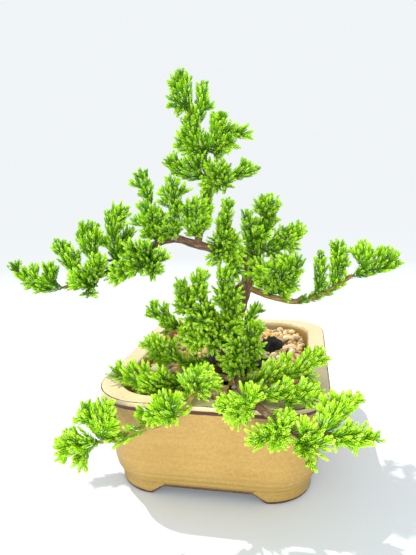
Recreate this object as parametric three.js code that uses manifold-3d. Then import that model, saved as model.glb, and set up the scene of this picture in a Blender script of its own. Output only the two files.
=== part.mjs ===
// A small juniper bonsai in its glazed rectangular pot. Millimetres, +Z up.
// Everything is laid out round the middle of the pot, with the feet on z = 0. At the end the whole
// group is shifted, so that the origin is the middle of the ground that the plant covers.
import * as THREE from "three";
import { mergeVertices } from "three/addons/utils/BufferGeometryUtils.js";
import Module from "manifold-3d";

const wasm = await Module();
wasm.setup();

// Driving dimensions
const POT_WIDTH = 140;
const POT_DEPTH = 185;
const POT_HEIGHT = 62;
const POT_CORNER = 33;
const RIM_WIDTH = 12.5;
const BASE_INSET = 10.6;
const DEPTH_TAPER = 0.85; // the long walls lean in less than the short ones
const FLOOR_BOTTOM = 5.2;
const FLOOR_TOP = 11.5;
const CAVITY_TAPER = 5;
const CAVITY_CORNER = 23.5;
const FOOT_LENGTH = 24;
const FOOT_SLOPE = 10;
const FOOT_WIDTH = 13;
const DRAIN_RADIUS = 6.5;
const DRAIN_OFFSET = 44;
const SOIL_TOP = 49.5;
const GRAVEL_TOP = 53.5;
const GAP = 0.3;
const LEAFY_RADII = [1.4, 3.6, 3.9, 0.5]; // a leafy twig, from its foot to its point
const SHOOT_LENGTH = 10;
const SHOOT_RADIUS = 2.2;
const MAIN_SHOOTS = 2;

// Construction values
const CORNER_STEPS = 4;
const ROUND_STEPS = 12;
const CUT_PAST = 1; // how far a cutting shape reaches past what it cuts
const THREAD_RADIUS = 0.5;
const STEM_STEP = 11;
const CURVE_SAMPLES = 200;
const MERGE_DISTANCE = 1e-3;
const GOLDEN_ANGLE = THREE.MathUtils.degToRad(137.5);
const UP = new THREE.Vector3(0, 0, 1);
const LATHE_AXIS = new THREE.Vector3(0, 1, 0);

// ---------------------------------------------------------------- solids and random numbers

function solidOf(geometry) {
  const bare = geometry.clone();
  bare.deleteAttribute("normal");
  bare.deleteAttribute("uv");
  const welded = mergeVertices(bare, MERGE_DISTANCE);
  const triangles = [];
  const index = welded.index.array;
  for (let i = 0; i < index.length; i += 3) {
    const [a, b, c] = [index[i], index[i + 1], index[i + 2]];
    if (a !== b && b !== c && c !== a) {
      triangles.push(a, b, c);
    }
  }
  return new wasm.Manifold(new wasm.Mesh({
    numProp: 3,
    vertProperties: new Float32Array(welded.attributes.position.array),
    triVerts: new Uint32Array(triangles),
  }));
}

function geometryOf(solid) {
  const mesh = solid.getMesh();
  const geometry = new THREE.BufferGeometry();
  geometry.setAttribute("position", new THREE.BufferAttribute(mesh.vertProperties, 3));
  geometry.setIndex(new THREE.BufferAttribute(mesh.triVerts, 1));
  geometry.computeVertexNormals();
  return geometry;
}

function joined(solids) {
  return solids.reduce((whole, solid) => whole.add(solid));
}

function boxesMeet(first, second) {
  const a = first.boundingBox();
  const b = second.boundingBox();
  return [0, 1, 2].every((axis) => a.min[axis] < b.max[axis] && b.min[axis] < a.max[axis]);
}

// Cuts each of the other solids away, and keeps the largest piece that is left.
function clearOf(solid, others) {
  const near = others.filter((other) => boxesMeet(solid, other));
  const cut = near.reduce((rest, other) => rest.subtract(other), solid);
  const pieces = cut.decompose();
  return pieces.reduce((best, piece) => (piece.volume() > best.volume() ? piece : best));
}

// A repeatable stream of numbers from 0 to 1: each state is the one before it, multiplied and wrapped.
const RANDOM_FACTOR = 16807;
const RANDOM_RANGE = 2147483647;

function randomStream(seed) {
  let state = seed;
  return () => {
    state = (state * RANDOM_FACTOR) % RANDOM_RANGE;
    return state / RANDOM_RANGE;
  };
}

// ---------------------------------------------------------------- basic shapes

function roundedOutline(halfX, halfY, radius) {
  const shape = new THREE.Shape();
  const x = halfX - radius;
  const y = halfY - radius;
  shape.absarc(x, y, radius, 0, Math.PI / 2);
  shape.absarc(-x, y, radius, Math.PI / 2, Math.PI);
  shape.absarc(-x, -y, radius, Math.PI, 1.5 * Math.PI);
  shape.absarc(x, -y, radius, 1.5 * Math.PI, 2 * Math.PI);
  return shape;
}

// A rounded block whose sides are drawn in by the inset that each of its levels gives.
function taperedBlock(halfX, halfY, radius, levels) {
  const steps = levels.length - 1;
  const outline = roundedOutline(halfX, halfY, radius);
  const geometry = new THREE.ExtrudeGeometry(outline, {
    depth: steps, steps, bevelEnabled: false, curveSegments: CORNER_STEPS,
  });
  const position = geometry.attributes.position;
  for (let i = 0; i < position.count; i += 1) {
    const [z, inset] = levels[Math.round(position.getZ(i))];
    const x = position.getX(i) * (1 - inset / halfX);
    const y = position.getY(i) * (1 - (inset * DEPTH_TAPER) / halfY);
    position.setXYZ(i, x, y, z);
  }
  return solidOf(geometry);
}

function block(sizeX, sizeY, sizeZ, x, y, z) {
  return solidOf(new THREE.BoxGeometry(sizeX, sizeY, sizeZ).translate(x, y, z));
}

function vectors(route) {
  return route.map((point) => new THREE.Vector3(...point));
}

function stemCurve(route) {
  return new THREE.CatmullRomCurve3(vectors(route), false, "catmullrom");
}

function nearestIndex(points, target) {
  let best = 0;
  points.forEach((point, i) => {
    if (point.distanceToSquared(target) < points[best].distanceToSquared(target)) {
      best = i;
    }
  });
  return best;
}

function radiusAt(radii, t) {
  const place = t * (radii.length - 1);
  const low = Math.min(Math.floor(place), radii.length - 2);
  return THREE.MathUtils.lerp(radii[low], radii[low + 1], place - low);
}

// A round stem along a curve: a thin thread is extruded and then swollen to its radius ring by ring.
function stemSolid(curve, radii, sides, steps, extra) {
  const section = new THREE.Shape();
  for (let i = 0; i < sides; i += 1) {
    const angle = (2 * Math.PI * i) / sides;
    const corner = [THREAD_RADIUS * Math.cos(angle), THREAD_RADIUS * Math.sin(angle)];
    if (i === 0) {
      section.moveTo(...corner);
    } else {
      section.lineTo(...corner);
    }
  }
  section.closePath();
  const geometry = new THREE.ExtrudeGeometry(section, { steps, extrudePath: curve, bevelEnabled: false });
  const centres = curve.getSpacedPoints(steps);
  const position = geometry.attributes.position;
  const point = new THREE.Vector3();
  for (let i = 0; i < position.count; i += 1) {
    point.fromBufferAttribute(position, i);
    const ring = nearestIndex(centres, point);
    const swell = (radiusAt(radii, ring / steps) + extra) / THREAD_RADIUS;
    point.sub(centres[ring]).multiplyScalar(swell).add(centres[ring]);
    position.setXYZ(i, point.x, point.y, point.z);
  }
  return solidOf(geometry);
}

// ---------------------------------------------------------------- pot

// Height and inset of the outer wall, from the feet up: band, ledge, rounded wall, lip.
const WALL_LEVELS = [
  [0, BASE_INSET],
  [8, BASE_INSET],
  [9.2, BASE_INSET - 1.6],
  [12.5, BASE_INSET - 3.2],
  [18, 6.4],
  [34, 4.3],
  [POT_HEIGHT - 4.4, 1.5],
  [POT_HEIGHT - 3.4, 0],
  [POT_HEIGHT, 0],
];

function potBody(extra) {
  const levels = WALL_LEVELS.map(([z, inset]) => [z, inset - extra]);
  levels[0][0] -= extra;
  levels[levels.length - 1][0] += extra;
  return taperedBlock(POT_WIDTH / 2, POT_DEPTH / 2, POT_CORNER, levels);
}

// The hollow of the pot, made narrower all round by the gap, between two heights.
function hollow(low, high, gap) {
  const insetAt = (z) => (CAVITY_TAPER * (POT_HEIGHT - z)) / (POT_HEIGHT - FLOOR_TOP) + gap;
  const levels = [[low, insetAt(low)], [high, insetAt(high)]];
  return taperedBlock(POT_WIDTH / 2 - RIM_WIDTH, POT_DEPTH / 2 - RIM_WIDTH, CAVITY_CORNER, levels);
}

// A low arch with slanted ends, cut through under the floor from wall to wall.
function footArch(length, through, turned) {
  const half = length / 2;
  const outline = new THREE.Shape([
    new THREE.Vector2(-half, -CUT_PAST),
    new THREE.Vector2(half, -CUT_PAST),
    new THREE.Vector2(half - FOOT_SLOPE, FLOOR_BOTTOM),
    new THREE.Vector2(FOOT_SLOPE - half, FLOOR_BOTTOM),
  ]);
  const geometry = new THREE.ExtrudeGeometry(outline, { depth: through, bevelEnabled: false });
  geometry.translate(0, 0, -through / 2).rotateX(Math.PI / 2);
  if (turned) {
    geometry.rotateZ(Math.PI / 2);
  }
  return solidOf(geometry);
}

function drainHole(y, radius, low, high) {
  const geometry = new THREE.CylinderGeometry(radius, radius, high - low, ROUND_STEPS);
  geometry.rotateX(Math.PI / 2).translate(0, y, (low + high) / 2);
  return solidOf(geometry);
}

function potSolid() {
  const baseX = POT_WIDTH - 2 * BASE_INSET;
  const baseY = POT_DEPTH - 2 * BASE_INSET * DEPTH_TAPER;
  const underside = block(baseX - 2 * FOOT_WIDTH, baseY - 2 * FOOT_WIDTH, FLOOR_BOTTOM + CUT_PAST,
    0, 0, (FLOOR_BOTTOM - CUT_PAST) / 2);
  return potBody(0)
    .subtract(hollow(FLOOR_TOP, POT_HEIGHT + CUT_PAST, 0))
    .subtract(underside)
    .subtract(footArch(baseX - 2 * FOOT_LENGTH, POT_DEPTH, false))
    .subtract(footArch(baseY - 2 * FOOT_LENGTH, POT_WIDTH, true))
    .subtract(drainHole(DRAIN_OFFSET, DRAIN_RADIUS, 0, FLOOR_TOP + CUT_PAST))
    .subtract(drainHole(-DRAIN_OFFSET, DRAIN_RADIUS, 0, FLOOR_TOP + CUT_PAST));
}

const MESH_SIZE = 24;
const MESH_THICKNESS = 1.2;
const WINDOW_PITCH = 5;
const WINDOW_SIZE = 3.4;
const WIRE_RADIUS = 0.8;
const WIRE_BEND = 1.2;
const WIRE_SIDES = 5;
const WIRE_STEPS = 14;

// The square mesh over a drain hole, with its rows of small windows.
function drainMesh(y) {
  const z = FLOOR_TOP + GAP + MESH_THICKNESS / 2;
  let plate = block(MESH_SIZE, MESH_SIZE, MESH_THICKNESS, 0, y, z);
  for (const row of [-1, 0, 1]) {
    for (const column of [-1, 0, 1]) {
      plate = plate.subtract(block(WINDOW_SIZE, WINDOW_SIZE, 2 * MESH_THICKNESS,
        row * WINDOW_PITCH, y + column * WINDOW_PITCH, z));
    }
  }
  return plate;
}

// The wire staple that holds the mesh down: over the mesh and down through two of its windows.
function meshWire(y) {
  const top = FLOOR_TOP + GAP + MESH_THICKNESS + GAP + WIRE_RADIUS;
  const bottom = FLOOR_BOTTOM + 1;
  const side = (sign) => [
    [sign * WINDOW_PITCH, y, bottom],
    [sign * WINDOW_PITCH, y, top - WIRE_BEND],
    [sign * (WINDOW_PITCH - WIRE_BEND), y, top],
  ];
  const curve = stemCurve([...side(-1), ...side(1).reverse()]);
  return stemSolid(curve, [WIRE_RADIUS, WIRE_RADIUS], WIRE_SIDES, WIRE_STEPS, 0);
}

// ---------------------------------------------------------------- wood

// Each stem: its route from its parent to its tip, its radii along the way, and its parent.
const STEMS = {
  trunk: {
    route: [[0, 2, 38], [1, 1, 56], [4, 2, 76], [9, 4, 96], [14, 3, 112], [16, 2, 125], [11, 0, 134]],
    radii: [9, 7.5, 5.2, 4.8, 4.8, 3.6, 3.2],
  },
  left_limb: {
    parent: "trunk",
    route: [[11, 0, 133], [-4, -2, 136], [-21, -5, 141], [-36, -8, 145], [-52, -12, 139], [-74, -16, 126],
      [-92, -21, 118], [-110, -26, 113]],
    radii: [3, 2.8, 2.6, 1.8, 1.2],
  },
  upper_left_branch: {
    parent: "left_limb",
    route: [[-36, -8, 145], [-46, -3, 154], [-56, 4, 168]],
    radii: [1.8, 1.2],
  },
  dead_stub: {
    parent: "left_limb",
    route: [[-33, -8, 144], [-38, -12, 155], [-43, -14, 166]],
    radii: [2, 1.5],
  },
  leader: {
    parent: "left_limb",
    route: [[-19, -5, 140], [-15, 0, 161], [-12, 4, 184], [-17, 4, 205], [-21, 2, 221], [-25, 0, 238]],
    radii: [2.4, 2.1, 1.2],
  },
  right_stem: {
    parent: "trunk",
    route: [[15, 3, 113], [22, -2, 130], [27, -6, 148]],
    radii: [2.2, 1.4],
  },
  right_branch: {
    parent: "trunk",
    route: [[13, 3, 110], [24, 0, 106], [36, -4, 103], [50, -8, 102], [62, -10, 106], [72, -12, 112],
      [84, -14, 121]],
    radii: [2.4, 1.7, 1.2],
  },
  front_left_branch: {
    parent: "trunk",
    route: [[0, -2, 58], [-3, -30, 60], [-4, -55, 61], [-4, -78, 66], [-5, -93, 68], [-10, -104, 63],
      [-20, -110, 59], [-30, -112, 56], [-38, -116, 53], [-48, -119, 52]],
    radii: [2.8, 2.4, 2, 1.2],
  },
  front_right_branch: {
    parent: "trunk",
    route: [[2, -2, 58], [12, -41, 61], [17, -62, 63], [21, -82, 66], [28, -94, 67], [34, -101, 66],
      [40, -105, 64], [46, -108, 61], [55, -111, 59], [68, -110, 60]],
    radii: [3, 2.6, 2.2, 1.3],
  },
};

const STEM_SIDES = 6;

function woodSolid(name, extra) {
  const { route, radii } = STEMS[name];
  const curve = stemCurve(route);
  const steps = Math.ceil(curve.getLength() / STEM_STEP);
  const stem = stemSolid(curve, radii, STEM_SIDES, steps, extra);
  return name === "trunk" ? joined([stem, cutKnob(extra), ...roots(extra)]) : stem;
}

// The old pruning wound: a short thick stub on the front of the trunk.
const KNOB = { route: [[14, 3, 111], [11, -4, 109], [9, -10, 106]], radii: [4.2, 4.4, 4.2] };

function cutKnob(extra) {
  return stemSolid(stemCurve(KNOB.route), KNOB.radii, STEM_SIDES, 2, extra);
}

// The flare at the foot of the trunk: a few short roots that run out and down into the soil.
// A root's profile gives how far from the trunk's middle it is at each height.
const ROOT_COUNT = 5;
const ROOT_TURN = 0.44;
const ROOT_PROFILE = [[2, 57], [11, 51], [22, 43]];
const ROOT_RADII = [4.2, 3, 1.6];

function roots(extra) {
  const [trunkX, trunkY] = STEMS.trunk.route[1];
  return Array.from({ length: ROOT_COUNT }, (_, i) => {
    const angle = (2 * Math.PI * i) / ROOT_COUNT + ROOT_TURN;
    const route = ROOT_PROFILE.map(([distance, z]) => [
      trunkX + distance * Math.cos(angle), trunkY + distance * Math.sin(angle), z,
    ]);
    return stemSolid(stemCurve(route), ROOT_RADII, STEM_SIDES - 1, ROOT_PROFILE.length, extra);
  });
}

// ---------------------------------------------------------------- soil and gravel

// Mounds of bare soil that stand through the gravel: place, radius and height.
const SOIL_MOUNDS = [
  { x: 3, y: 2, radius: 30, height: 8 },
  { x: 30, y: 38, radius: 11, height: 13 },
];
const MOUND_SINK = 1;

function mound({ x, y, radius, height }, extra) {
  const geometry = new THREE.SphereGeometry(1, ROUND_STEPS, ROUND_STEPS / 2);
  geometry.rotateX(Math.PI / 2).scale(radius + extra, radius + extra, height + extra);
  return solidOf(geometry.translate(x, y, SOIL_TOP - MOUND_SINK));
}

function soilSolid() {
  const wires = [-DRAIN_OFFSET, DRAIN_OFFSET];
  const roomHeight = 2 * (MESH_THICKNESS + 3 * GAP + 2 * WIRE_RADIUS);
  const roomSize = MESH_SIZE + 2 * GAP;
  const meshRoom = wires.map((y) => block(roomSize, roomSize, roomHeight, 0, y, FLOOR_TOP));
  const bed = hollow(FLOOR_TOP + GAP, SOIL_TOP, GAP);
  const whole = joined([bed, ...SOIL_MOUNDS.map((one) => mound(one, 0))]);
  return clearOf(whole, meshRoom);
}

// Small stones lie in rings round the pot on golden-angle places, so that they never line up.
const PEBBLE_COUNT = 36;
const PEBBLE_SIZES = [6.4, 10.4];
const PEBBLE_SHAPE = [1, 0.9, 0.6];
const PEBBLE_SINK = 0.3;
const PEBBLE_REACH_X = 49.5;
const PEBBLE_REACH_Y = 72;
const GRAVEL_SEED = 77;

function gravelSolid() {
  const random = randomStream(GRAVEL_SEED);
  const pebbles = Array.from({ length: PEBBLE_COUNT }, (_, i) => {
    const spread = Math.sqrt((i + 0.5) / PEBBLE_COUNT);
    const x = PEBBLE_REACH_X * spread * Math.cos(i * GOLDEN_ANGLE);
    const y = PEBBLE_REACH_Y * spread * Math.sin(i * GOLDEN_ANGLE);
    const size = THREE.MathUtils.lerp(...PEBBLE_SIZES, random());
    const geometry = new THREE.OctahedronGeometry(size / 2, 0).scale(...PEBBLE_SHAPE);
    geometry.rotateZ(2 * Math.PI * random()).translate(x, y, GRAVEL_TOP - PEBBLE_SINK);
    return solidOf(geometry);
  });
  const bed = hollow(SOIL_TOP + GAP, GRAVEL_TOP, GAP);
  return joined([bed, ...pebbles]).intersect(hollow(SOIL_TOP, POT_HEIGHT, GAP));
}

// ---------------------------------------------------------------- foliage

// Each spray: the stem that it grows from, its main twig as start, bend and tip, and the tips of the
// side twigs that fork from the main one. The places are picked by eye to fill the tree's outline.
const SPRAYS = {
  apex_tip: {
    stem: "leader",
    main: [[-23, 1, 230], [-26, -2, 244], [-28, -4, 257]],
    sides: [
      [-37, -12, 246], [-39, -10, 232], [-21, 6, 252], [-33, -8, 253], [-34, -6, 226],
      [-36, -8, 242],
    ],
  },
  apex_second: {
    stem: "leader",
    main: [[-18, 4, 217], [-17, 8, 234], [-14, 10, 251]],
    sides: [[-5, 12, 234], [-18, 2, 248], [-11, 14, 247], [-21, 6, 247]],
  },
  apex_right: {
    stem: "leader",
    main: [[-15, 4, 201], [-5, 0, 211], [1, -4, 228]],
    sides: [[22, -12, 213], [14, -8, 204], [-5, -10, 225], [1, -2, 193], [-11, 2, 229]],
  },
  apex_low_right: {
    stem: "leader",
    main: [[-12, 4, 186], [7, 10, 185], [24, 14, 192]],
    sides: [[7, -18, 177], [-11, -14, 193], [-2, -14, 193], [13, 12, 201], [-4, -4, 180], [-8, -14, 189]],
  },
  apex_mid_left: {
    stem: "leader",
    main: [[-17, 4, 202], [-21, -6, 212], [-25, -8, 224]],
    sides: [[-32, -12, 213], [-36, -10, 207], [-16, -12, 222], [-34, -4, 204], [-26, -6, 228]],
  },
  apex_low_left: {
    stem: "leader",
    main: [[-13, 4, 187], [-29, 8, 186], [-43, 10, 195]],
    sides: [[-33, 0, 200], [-14, 34, 220], [-39, 6, 204], [-25, -4, 203]],
  },
  left_fan: {
    stem: "left_limb",
    main: [[-34, -8, 145], [-30, -18, 162], [-31, -26, 188]],
    sides: [
      [-37, -28, 186], [-15, -24, 179], [-44, -24, 177], [-22, -26, 184], [-23, -26, 162],
      [-45, -20, 172], [-40, -24, 144], [-29, -26, 147],
    ],
  },
  left_upright: {
    stem: "upper_left_branch",
    main: [[-54, 3, 165], [-58, 6, 178], [-57, 8, 193]],
    sides: [[-74, 12, 183], [-70, 10, 191], [-62, 4, 191], [-67, 4, 175], [-58, -4, 170]],
  },
  left_shoulder: {
    stem: "left_limb",
    main: [[-46, -11, 142], [-45, -16, 153], [-50, -18, 167]],
    sides: [
      [-32, -20, 163], [-55, -24, 158], [-40, -28, 163], [-36, -26, 145], [-62, -12, 161],
      [-54, -16, 155],
    ],
  },
  centre_left: {
    stem: "leader",
    main: [[-17, -4, 144], [-22, -12, 155], [-24, -14, 167]],
    sides: [
      [-11, -16, 173], [-16, -22, 169], [-8, -12, 168], [-11, -14, 154], [-21, -20, 147],
      [-13, -14, 145], [-6, -14, 162],
    ],
  },
  left_tip: {
    stem: "left_limb",
    main: [[-110, -26, 113], [-132, -31, 112], [-144, -34, 129]],
    sides: [
      [-119, -28, 135], [-127, -27, 133], [-139, -28, 134], [-133, -40, 116], [-115, -24, 131],
      [-129, -34, 112], [-114, -32, 113],
    ],
  },
  left_outer: {
    stem: "left_limb",
    main: [[-97, -23, 116], [-109, -22, 129], [-119, -20, 146]],
    sides: [[-113, -18, 147], [-107, -14, 145], [-119, -28, 140], [-98, -18, 130], [-102, -24, 143]],
  },
  left_middle: {
    stem: "left_limb",
    main: [[-86, -19, 121], [-93, -16, 137], [-105, -14, 150]],
    sides: [[-93, -10, 160], [-89, -4, 158], [-99, -13, 153], [-84, -16, 130]],
  },
  left_under: {
    stem: "left_limb",
    main: [[-90, -20, 120], [-87, -38, 118], [-85, -44, 110]],
    sides: [
      [-103, -40, 126], [-89, -38, 135], [-101, -42, 118], [-80, -38, 130], [-77, -42, 110],
      [-82, -30, 140],
    ],
  },
  left_inner: {
    stem: "left_limb",
    main: [[-74, -16, 126], [-79, -12, 146], [-80, -8, 168]],
    sides: [
      [-63, -12, 172], [-86, -8, 165], [-68, -20, 166], [-76, -25, 113], [-62, -12, 164],
      [-85, -14, 156],
    ],
  },
  left_lower: {
    stem: "left_limb",
    main: [[-53, -12, 139], [-45, -36, 133], [-37, -46, 124]],
    sides: [
      [-61, -44, 125], [-27, -42, 141], [-61, -42, 146], [-47, -44, 149], [-48, -48, 126],
      [-74, -38, 122],
    ],
  },
  left_back: {
    stem: "left_limb",
    main: [[-62, -14, 133], [-85, 14, 133], [-109, 36, 140]],
    sides: [[-75, 32, 151], [-125, 40, 129]],
  },
  centre_tall: {
    stem: "left_limb",
    main: [[-2, -2, 136], [0, -12, 152], [7, -16, 173]],
    sides: [
      [7, -18, 161], [-1, -18, 172], [14, -20, 148], [2, -28, 153], [-9, -32, 132],
      [14, -28, 140], [4, -34, 143], [0, -34, 126], [9, -30, 131], [13, -24, 134],
      [11, -22, 122],
    ],
  },
  low_left: {
    stem: "trunk",
    main: [[1, 1, 63], [-29, -8, 77], [-57, -12, 96]],
    sides: [[-49, -8, 104], [-57, -18, 91], [-40, -16, 103], [-47, -16, 86], [-38, -20, 81]],
  },
  low_middle: {
    stem: "trunk",
    main: [[2, 1, 67], [-24, -18, 91], [-28, -26, 121]],
    sides: [
      [-33, -28, 116], [-22, -34, 114], [-23, -40, 101], [-32, -26, 108], [-26, -24, 94],
      [-21, -44, 80],
    ],
  },
  low_front: {
    stem: "trunk",
    main: [[2, 2, 70], [-11, -30, 96], [-14, -36, 125]],
    sides: [
      [-5, -40, 127], [-12, -50, 111], [-18, -54, 93], [-6, -60, 94], [-8, -40, 76],
      [-4, -36, 119], [4, -50, 81],
    ],
  },
  low_right: {
    stem: "trunk",
    main: [[4, 2, 75], [3, -24, 104], [3, -34, 129]],
    sides: [[13, -34, 128], [18, -32, 109], [-1, -46, 106], [12, -46, 119], [16, -38, 104], [13, -42, 88]],
  },
  low_back: {
    stem: "trunk",
    main: [[5, 3, 73], [12, 30, 70], [19, 38, 90]],
    sides: [[26, 40, 82], [11, 28, 85], [-40, 52, 70]],
  },
  centre_right: {
    stem: "trunk",
    main: [[1, 1, 55], [17, -20, 62], [25, -30, 89]],
    sides: [[29, -36, 72], [22, -40, 60], [9, -36, 90], [5, -40, 60], [29, -28, 94]],
  },
  right_crown: {
    stem: "right_stem",
    main: [[26, -5, 141], [29, -8, 157], [30, -12, 177]],
    sides: [[22, -16, 173], [41, -12, 168], [24, -30, 164], [37, -28, 166], [35, -8, 156], [34, -20, 162]],
  },
  right_crown_low: {
    stem: "right_stem",
    main: [[21, -2, 129], [17, -14, 140], [17, -18, 162]],
    sides: [[26, -34, 154], [35, -38, 147], [31, 34, 150]],
  },
  right_side: {
    stem: "right_stem",
    main: [[24, -3, 135], [40, -6, 140], [57, -10, 153]],
    sides: [
      [46, 0, 156], [51, 0, 156], [53, -12, 142], [41, -28, 151], [45, 28, 141],
      [33, -16, 129], [40, -4, 131], [50, -12, 142], [44, -18, 138],
    ],
  },
  right_low: {
    stem: "right_branch",
    main: [[29, -1, 105], [42, -14, 116], [53, -20, 129]],
    sides: [
      [51, -24, 114], [36, -26, 134], [28, -32, 129], [44, -14, 104], [25, -28, 131],
      [22, -28, 120], [30, -24, 113], [43, -20, 108],
    ],
  },
  right_inner: {
    stem: "right_branch",
    main: [[63, -10, 106], [62, -9, 120], [61, -8, 138]],
    sides: [[67, -12, 137], [57, -2, 116], [68, -8, 138], [68, -12, 127]],
  },
  right_rise: {
    stem: "right_branch",
    main: [[73, -12, 112], [76, -10, 125], [75, -8, 145]],
    sides: [[68, -14, 142], [82, -6, 141], [83, -22, 131], [71, -10, 123], [83, -14, 124], [86, -12, 138]],
  },
  right_tip: {
    stem: "right_branch",
    main: [[84, -14, 121], [100, -16, 125], [114, -18, 131]],
    sides: [
      [88, -12, 147], [94, -12, 143], [101, -16, 144], [108, -20, 140], [111, -24, 126],
      [82, -14, 142],
    ],
  },
  front_left_tip: {
    stem: "front_left_branch",
    main: [[-48, -119, 52], [-61, -124, 50], [-71, -128, 52]],
    sides: [[-65, -126, 62], [-55, -130, 40], [-66, -130, 43], [-49, -122, 49]],
  },
  front_left_rise: {
    stem: "front_left_branch",
    main: [[-46, -118, 52], [-50, -120, 60], [-57, -120, 76]],
    sides: [
      [-51, -116, 77], [-49, -112, 75], [-61, -127, 65], [-42, -108, 73], [-40, -110, 64],
      [-41, -115, 51], [-44, -110, 70], [-38, -112, 58],
    ],
  },
  front_pad: {
    stem: "front_left_branch",
    main: [[-11, -105, 63], [-19, -110, 65], [-30, -112, 65]],
    sides: [
      [-24, -102, 70], [-22, -98, 74], [-11, -114, 58], [-10, -96, 73], [-25, -113, 57],
      [-21, -114, 59], [-9, -106, 59],
    ],
  },
  front_middle: {
    stem: "front_left_branch",
    main: [[-5, -86, 67], [-8, -84, 70], [-14, -78, 76]],
    sides: [
      [-5, -86, 81], [7, -86, 81], [11, -84, 76], [3, -92, 81], [-8, -94, 64],
      [8, -74, 68], [2, -84, 64],
    ],
  },
  inner_left: {
    stem: "front_left_branch",
    main: [[-4, -52, 61], [-27, -72, 60], [-63, -64, 67]],
    sides: [[-59, -66, 78], [-50, -64, 79], [-40, -70, 80], [-30, -80, 76], [-56, -62, 57], [-42, -76, 57]],
  },
  inner_left_back: {
    stem: "front_left_branch",
    main: [[-3, -27, 59], [-29, -34, 61], [-51, -42, 83]],
    sides: [[-39, -38, 88], [-27, -42, 87], [-50, -48, 77], [-30, -56, 85], [-46, -34, 68], [-35, -42, 65]],
  },
  front_right_front: {
    stem: "front_right_branch",
    main: [[28, -93, 67], [21, -99, 64], [9, -98, 67]],
    sides: [[18, -94, 74], [15, -106, 58], [29, -92, 80], [36, -98, 76], [24, -104, 57], [30, -98, 67]],
  },
  front_right_drop: {
    stem: "front_right_branch",
    main: [[46, -104, 60], [38, -116, 57], [24, -120, 60]],
    sides: [[44, -122, 53], [45, -118, 69], [33, -124, 60], [50, -112, 57]],
  },
  front_right_hang: {
    stem: "front_right_branch",
    main: [[55, -106, 59], [54, -122, 57], [59, -126, 50]],
    sides: [[62, -126, 55], [71, -120, 62], [57, -116, 74]],
  },
  front_right_tip: {
    stem: "front_right_branch",
    main: [[65, -108, 59], [77, -112, 58], [91, -114, 62]],
    sides: [[85, -112, 68], [78, -118, 53], [68, -118, 54], [78, -106, 69]],
  },
  front_right_rise: {
    stem: "front_right_branch",
    main: [[61, -107, 59], [71, -100, 65], [85, -94, 77]],
    sides: [[76, -94, 74], [67, -90, 78], [85, -100, 72], [80, -106, 72], [61, -98, 71], [63, -90, 73]],
  },
  inner_right: {
    stem: "front_right_branch",
    main: [[16, -58, 62], [46, -62, 64], [67, -48, 84]],
    sides: [[36, -56, 82], [41, -54, 84], [54, -50, 85], [60, -44, 83], [70, -60, 76], [63, -70, 70]],
  },
  inner_right_front: {
    stem: "front_right_branch",
    main: [[28, -80, 64], [47, -84, 67], [64, -84, 70]],
    sides: [[47, -76, 77], [55, -80, 79], [57, -99, 66], [49, -98, 62]],
  },
};

const SPRAY_SEED = 9000;
const TWIG_SIDES = 4;
const TWIG_STEPS = 3;
const SHOOT_SIDES = 4;
const SHOOT_SWELL = 0.4; // how far up a shoot is widest
const SHOOTS_FROM = 0.3; // the share of a main twig that is bare of shoots
const SHOOT_ANGLE = { forward: 0.6, outward: 0.7, lift: 0.4 };
const SHOOT_VARIATION = 0.4;
const FORK_PLACES = 12;
const FORK_BEFORE = 0.7; // how far back a side twig forks, as a share of its reach
const FORK_BEND = 0.45; // how long a side twig keeps to the main twig's direction

function nearestOnCurve(curve, target) {
  const samples = curve.getPoints(CURVE_SAMPLES);
  return samples[nearestIndex(samples, target)];
}

// A leafy shoot: a spindle that swells from its foot and ends in a point.
function shootSolid(foot, direction, length, extra) {
  const profile = [
    new THREE.Vector2(0, 0),
    new THREE.Vector2(SHOOT_RADIUS + extra, SHOOT_SWELL * length),
    new THREE.Vector2(0, length + 2 * extra),
  ];
  const geometry = new THREE.LatheGeometry(profile, SHOOT_SIDES);
  geometry.applyQuaternion(new THREE.Quaternion().setFromUnitVectors(LATHE_AXIS, direction));
  return solidOf(geometry.translate(foot.x, foot.y, foot.z));
}

// A side twig leaves the main one before the place nearest to its tip, and curves out to it.
function sideCurve(main, tip) {
  const places = main.getSpacedPoints(FORK_PLACES);
  const near = nearestIndex(places, tip);
  const reach = places[near].distanceTo(tip);
  const before = (FORK_BEFORE * reach * FORK_PLACES) / main.getLength();
  const at = THREE.MathUtils.clamp(Math.round(near - before), 1, FORK_PLACES - 2);
  const fork = places[at];
  const bend = fork.clone();
  bend.addScaledVector(main.getTangentAt(at / FORK_PLACES), FORK_BEND * fork.distanceTo(tip));
  return new THREE.QuadraticBezierCurve3(fork, bend, tip);
}

// Shoots on alternate sides of a twig, leaning forward and lifted towards the light.
function shootSolids(curve, count, random, extra) {
  return Array.from({ length: count }, (_, i) => {
    const t = THREE.MathUtils.lerp(SHOOTS_FROM, 1, i / count);
    const along = curve.getTangentAt(t);
    const outward = new THREE.Vector3().crossVectors(along, UP).normalize();
    outward.applyAxisAngle(along, i * Math.PI + random() - 0.5);
    const direction = along.clone().multiplyScalar(SHOOT_ANGLE.forward);
    direction.addScaledVector(outward, SHOOT_ANGLE.outward).addScaledVector(UP, SHOOT_ANGLE.lift);
    const length = SHOOT_LENGTH * (1 - SHOOT_VARIATION * random());
    return shootSolid(curve.getPointAt(t), direction.normalize(), length, extra);
  });
}

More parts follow.
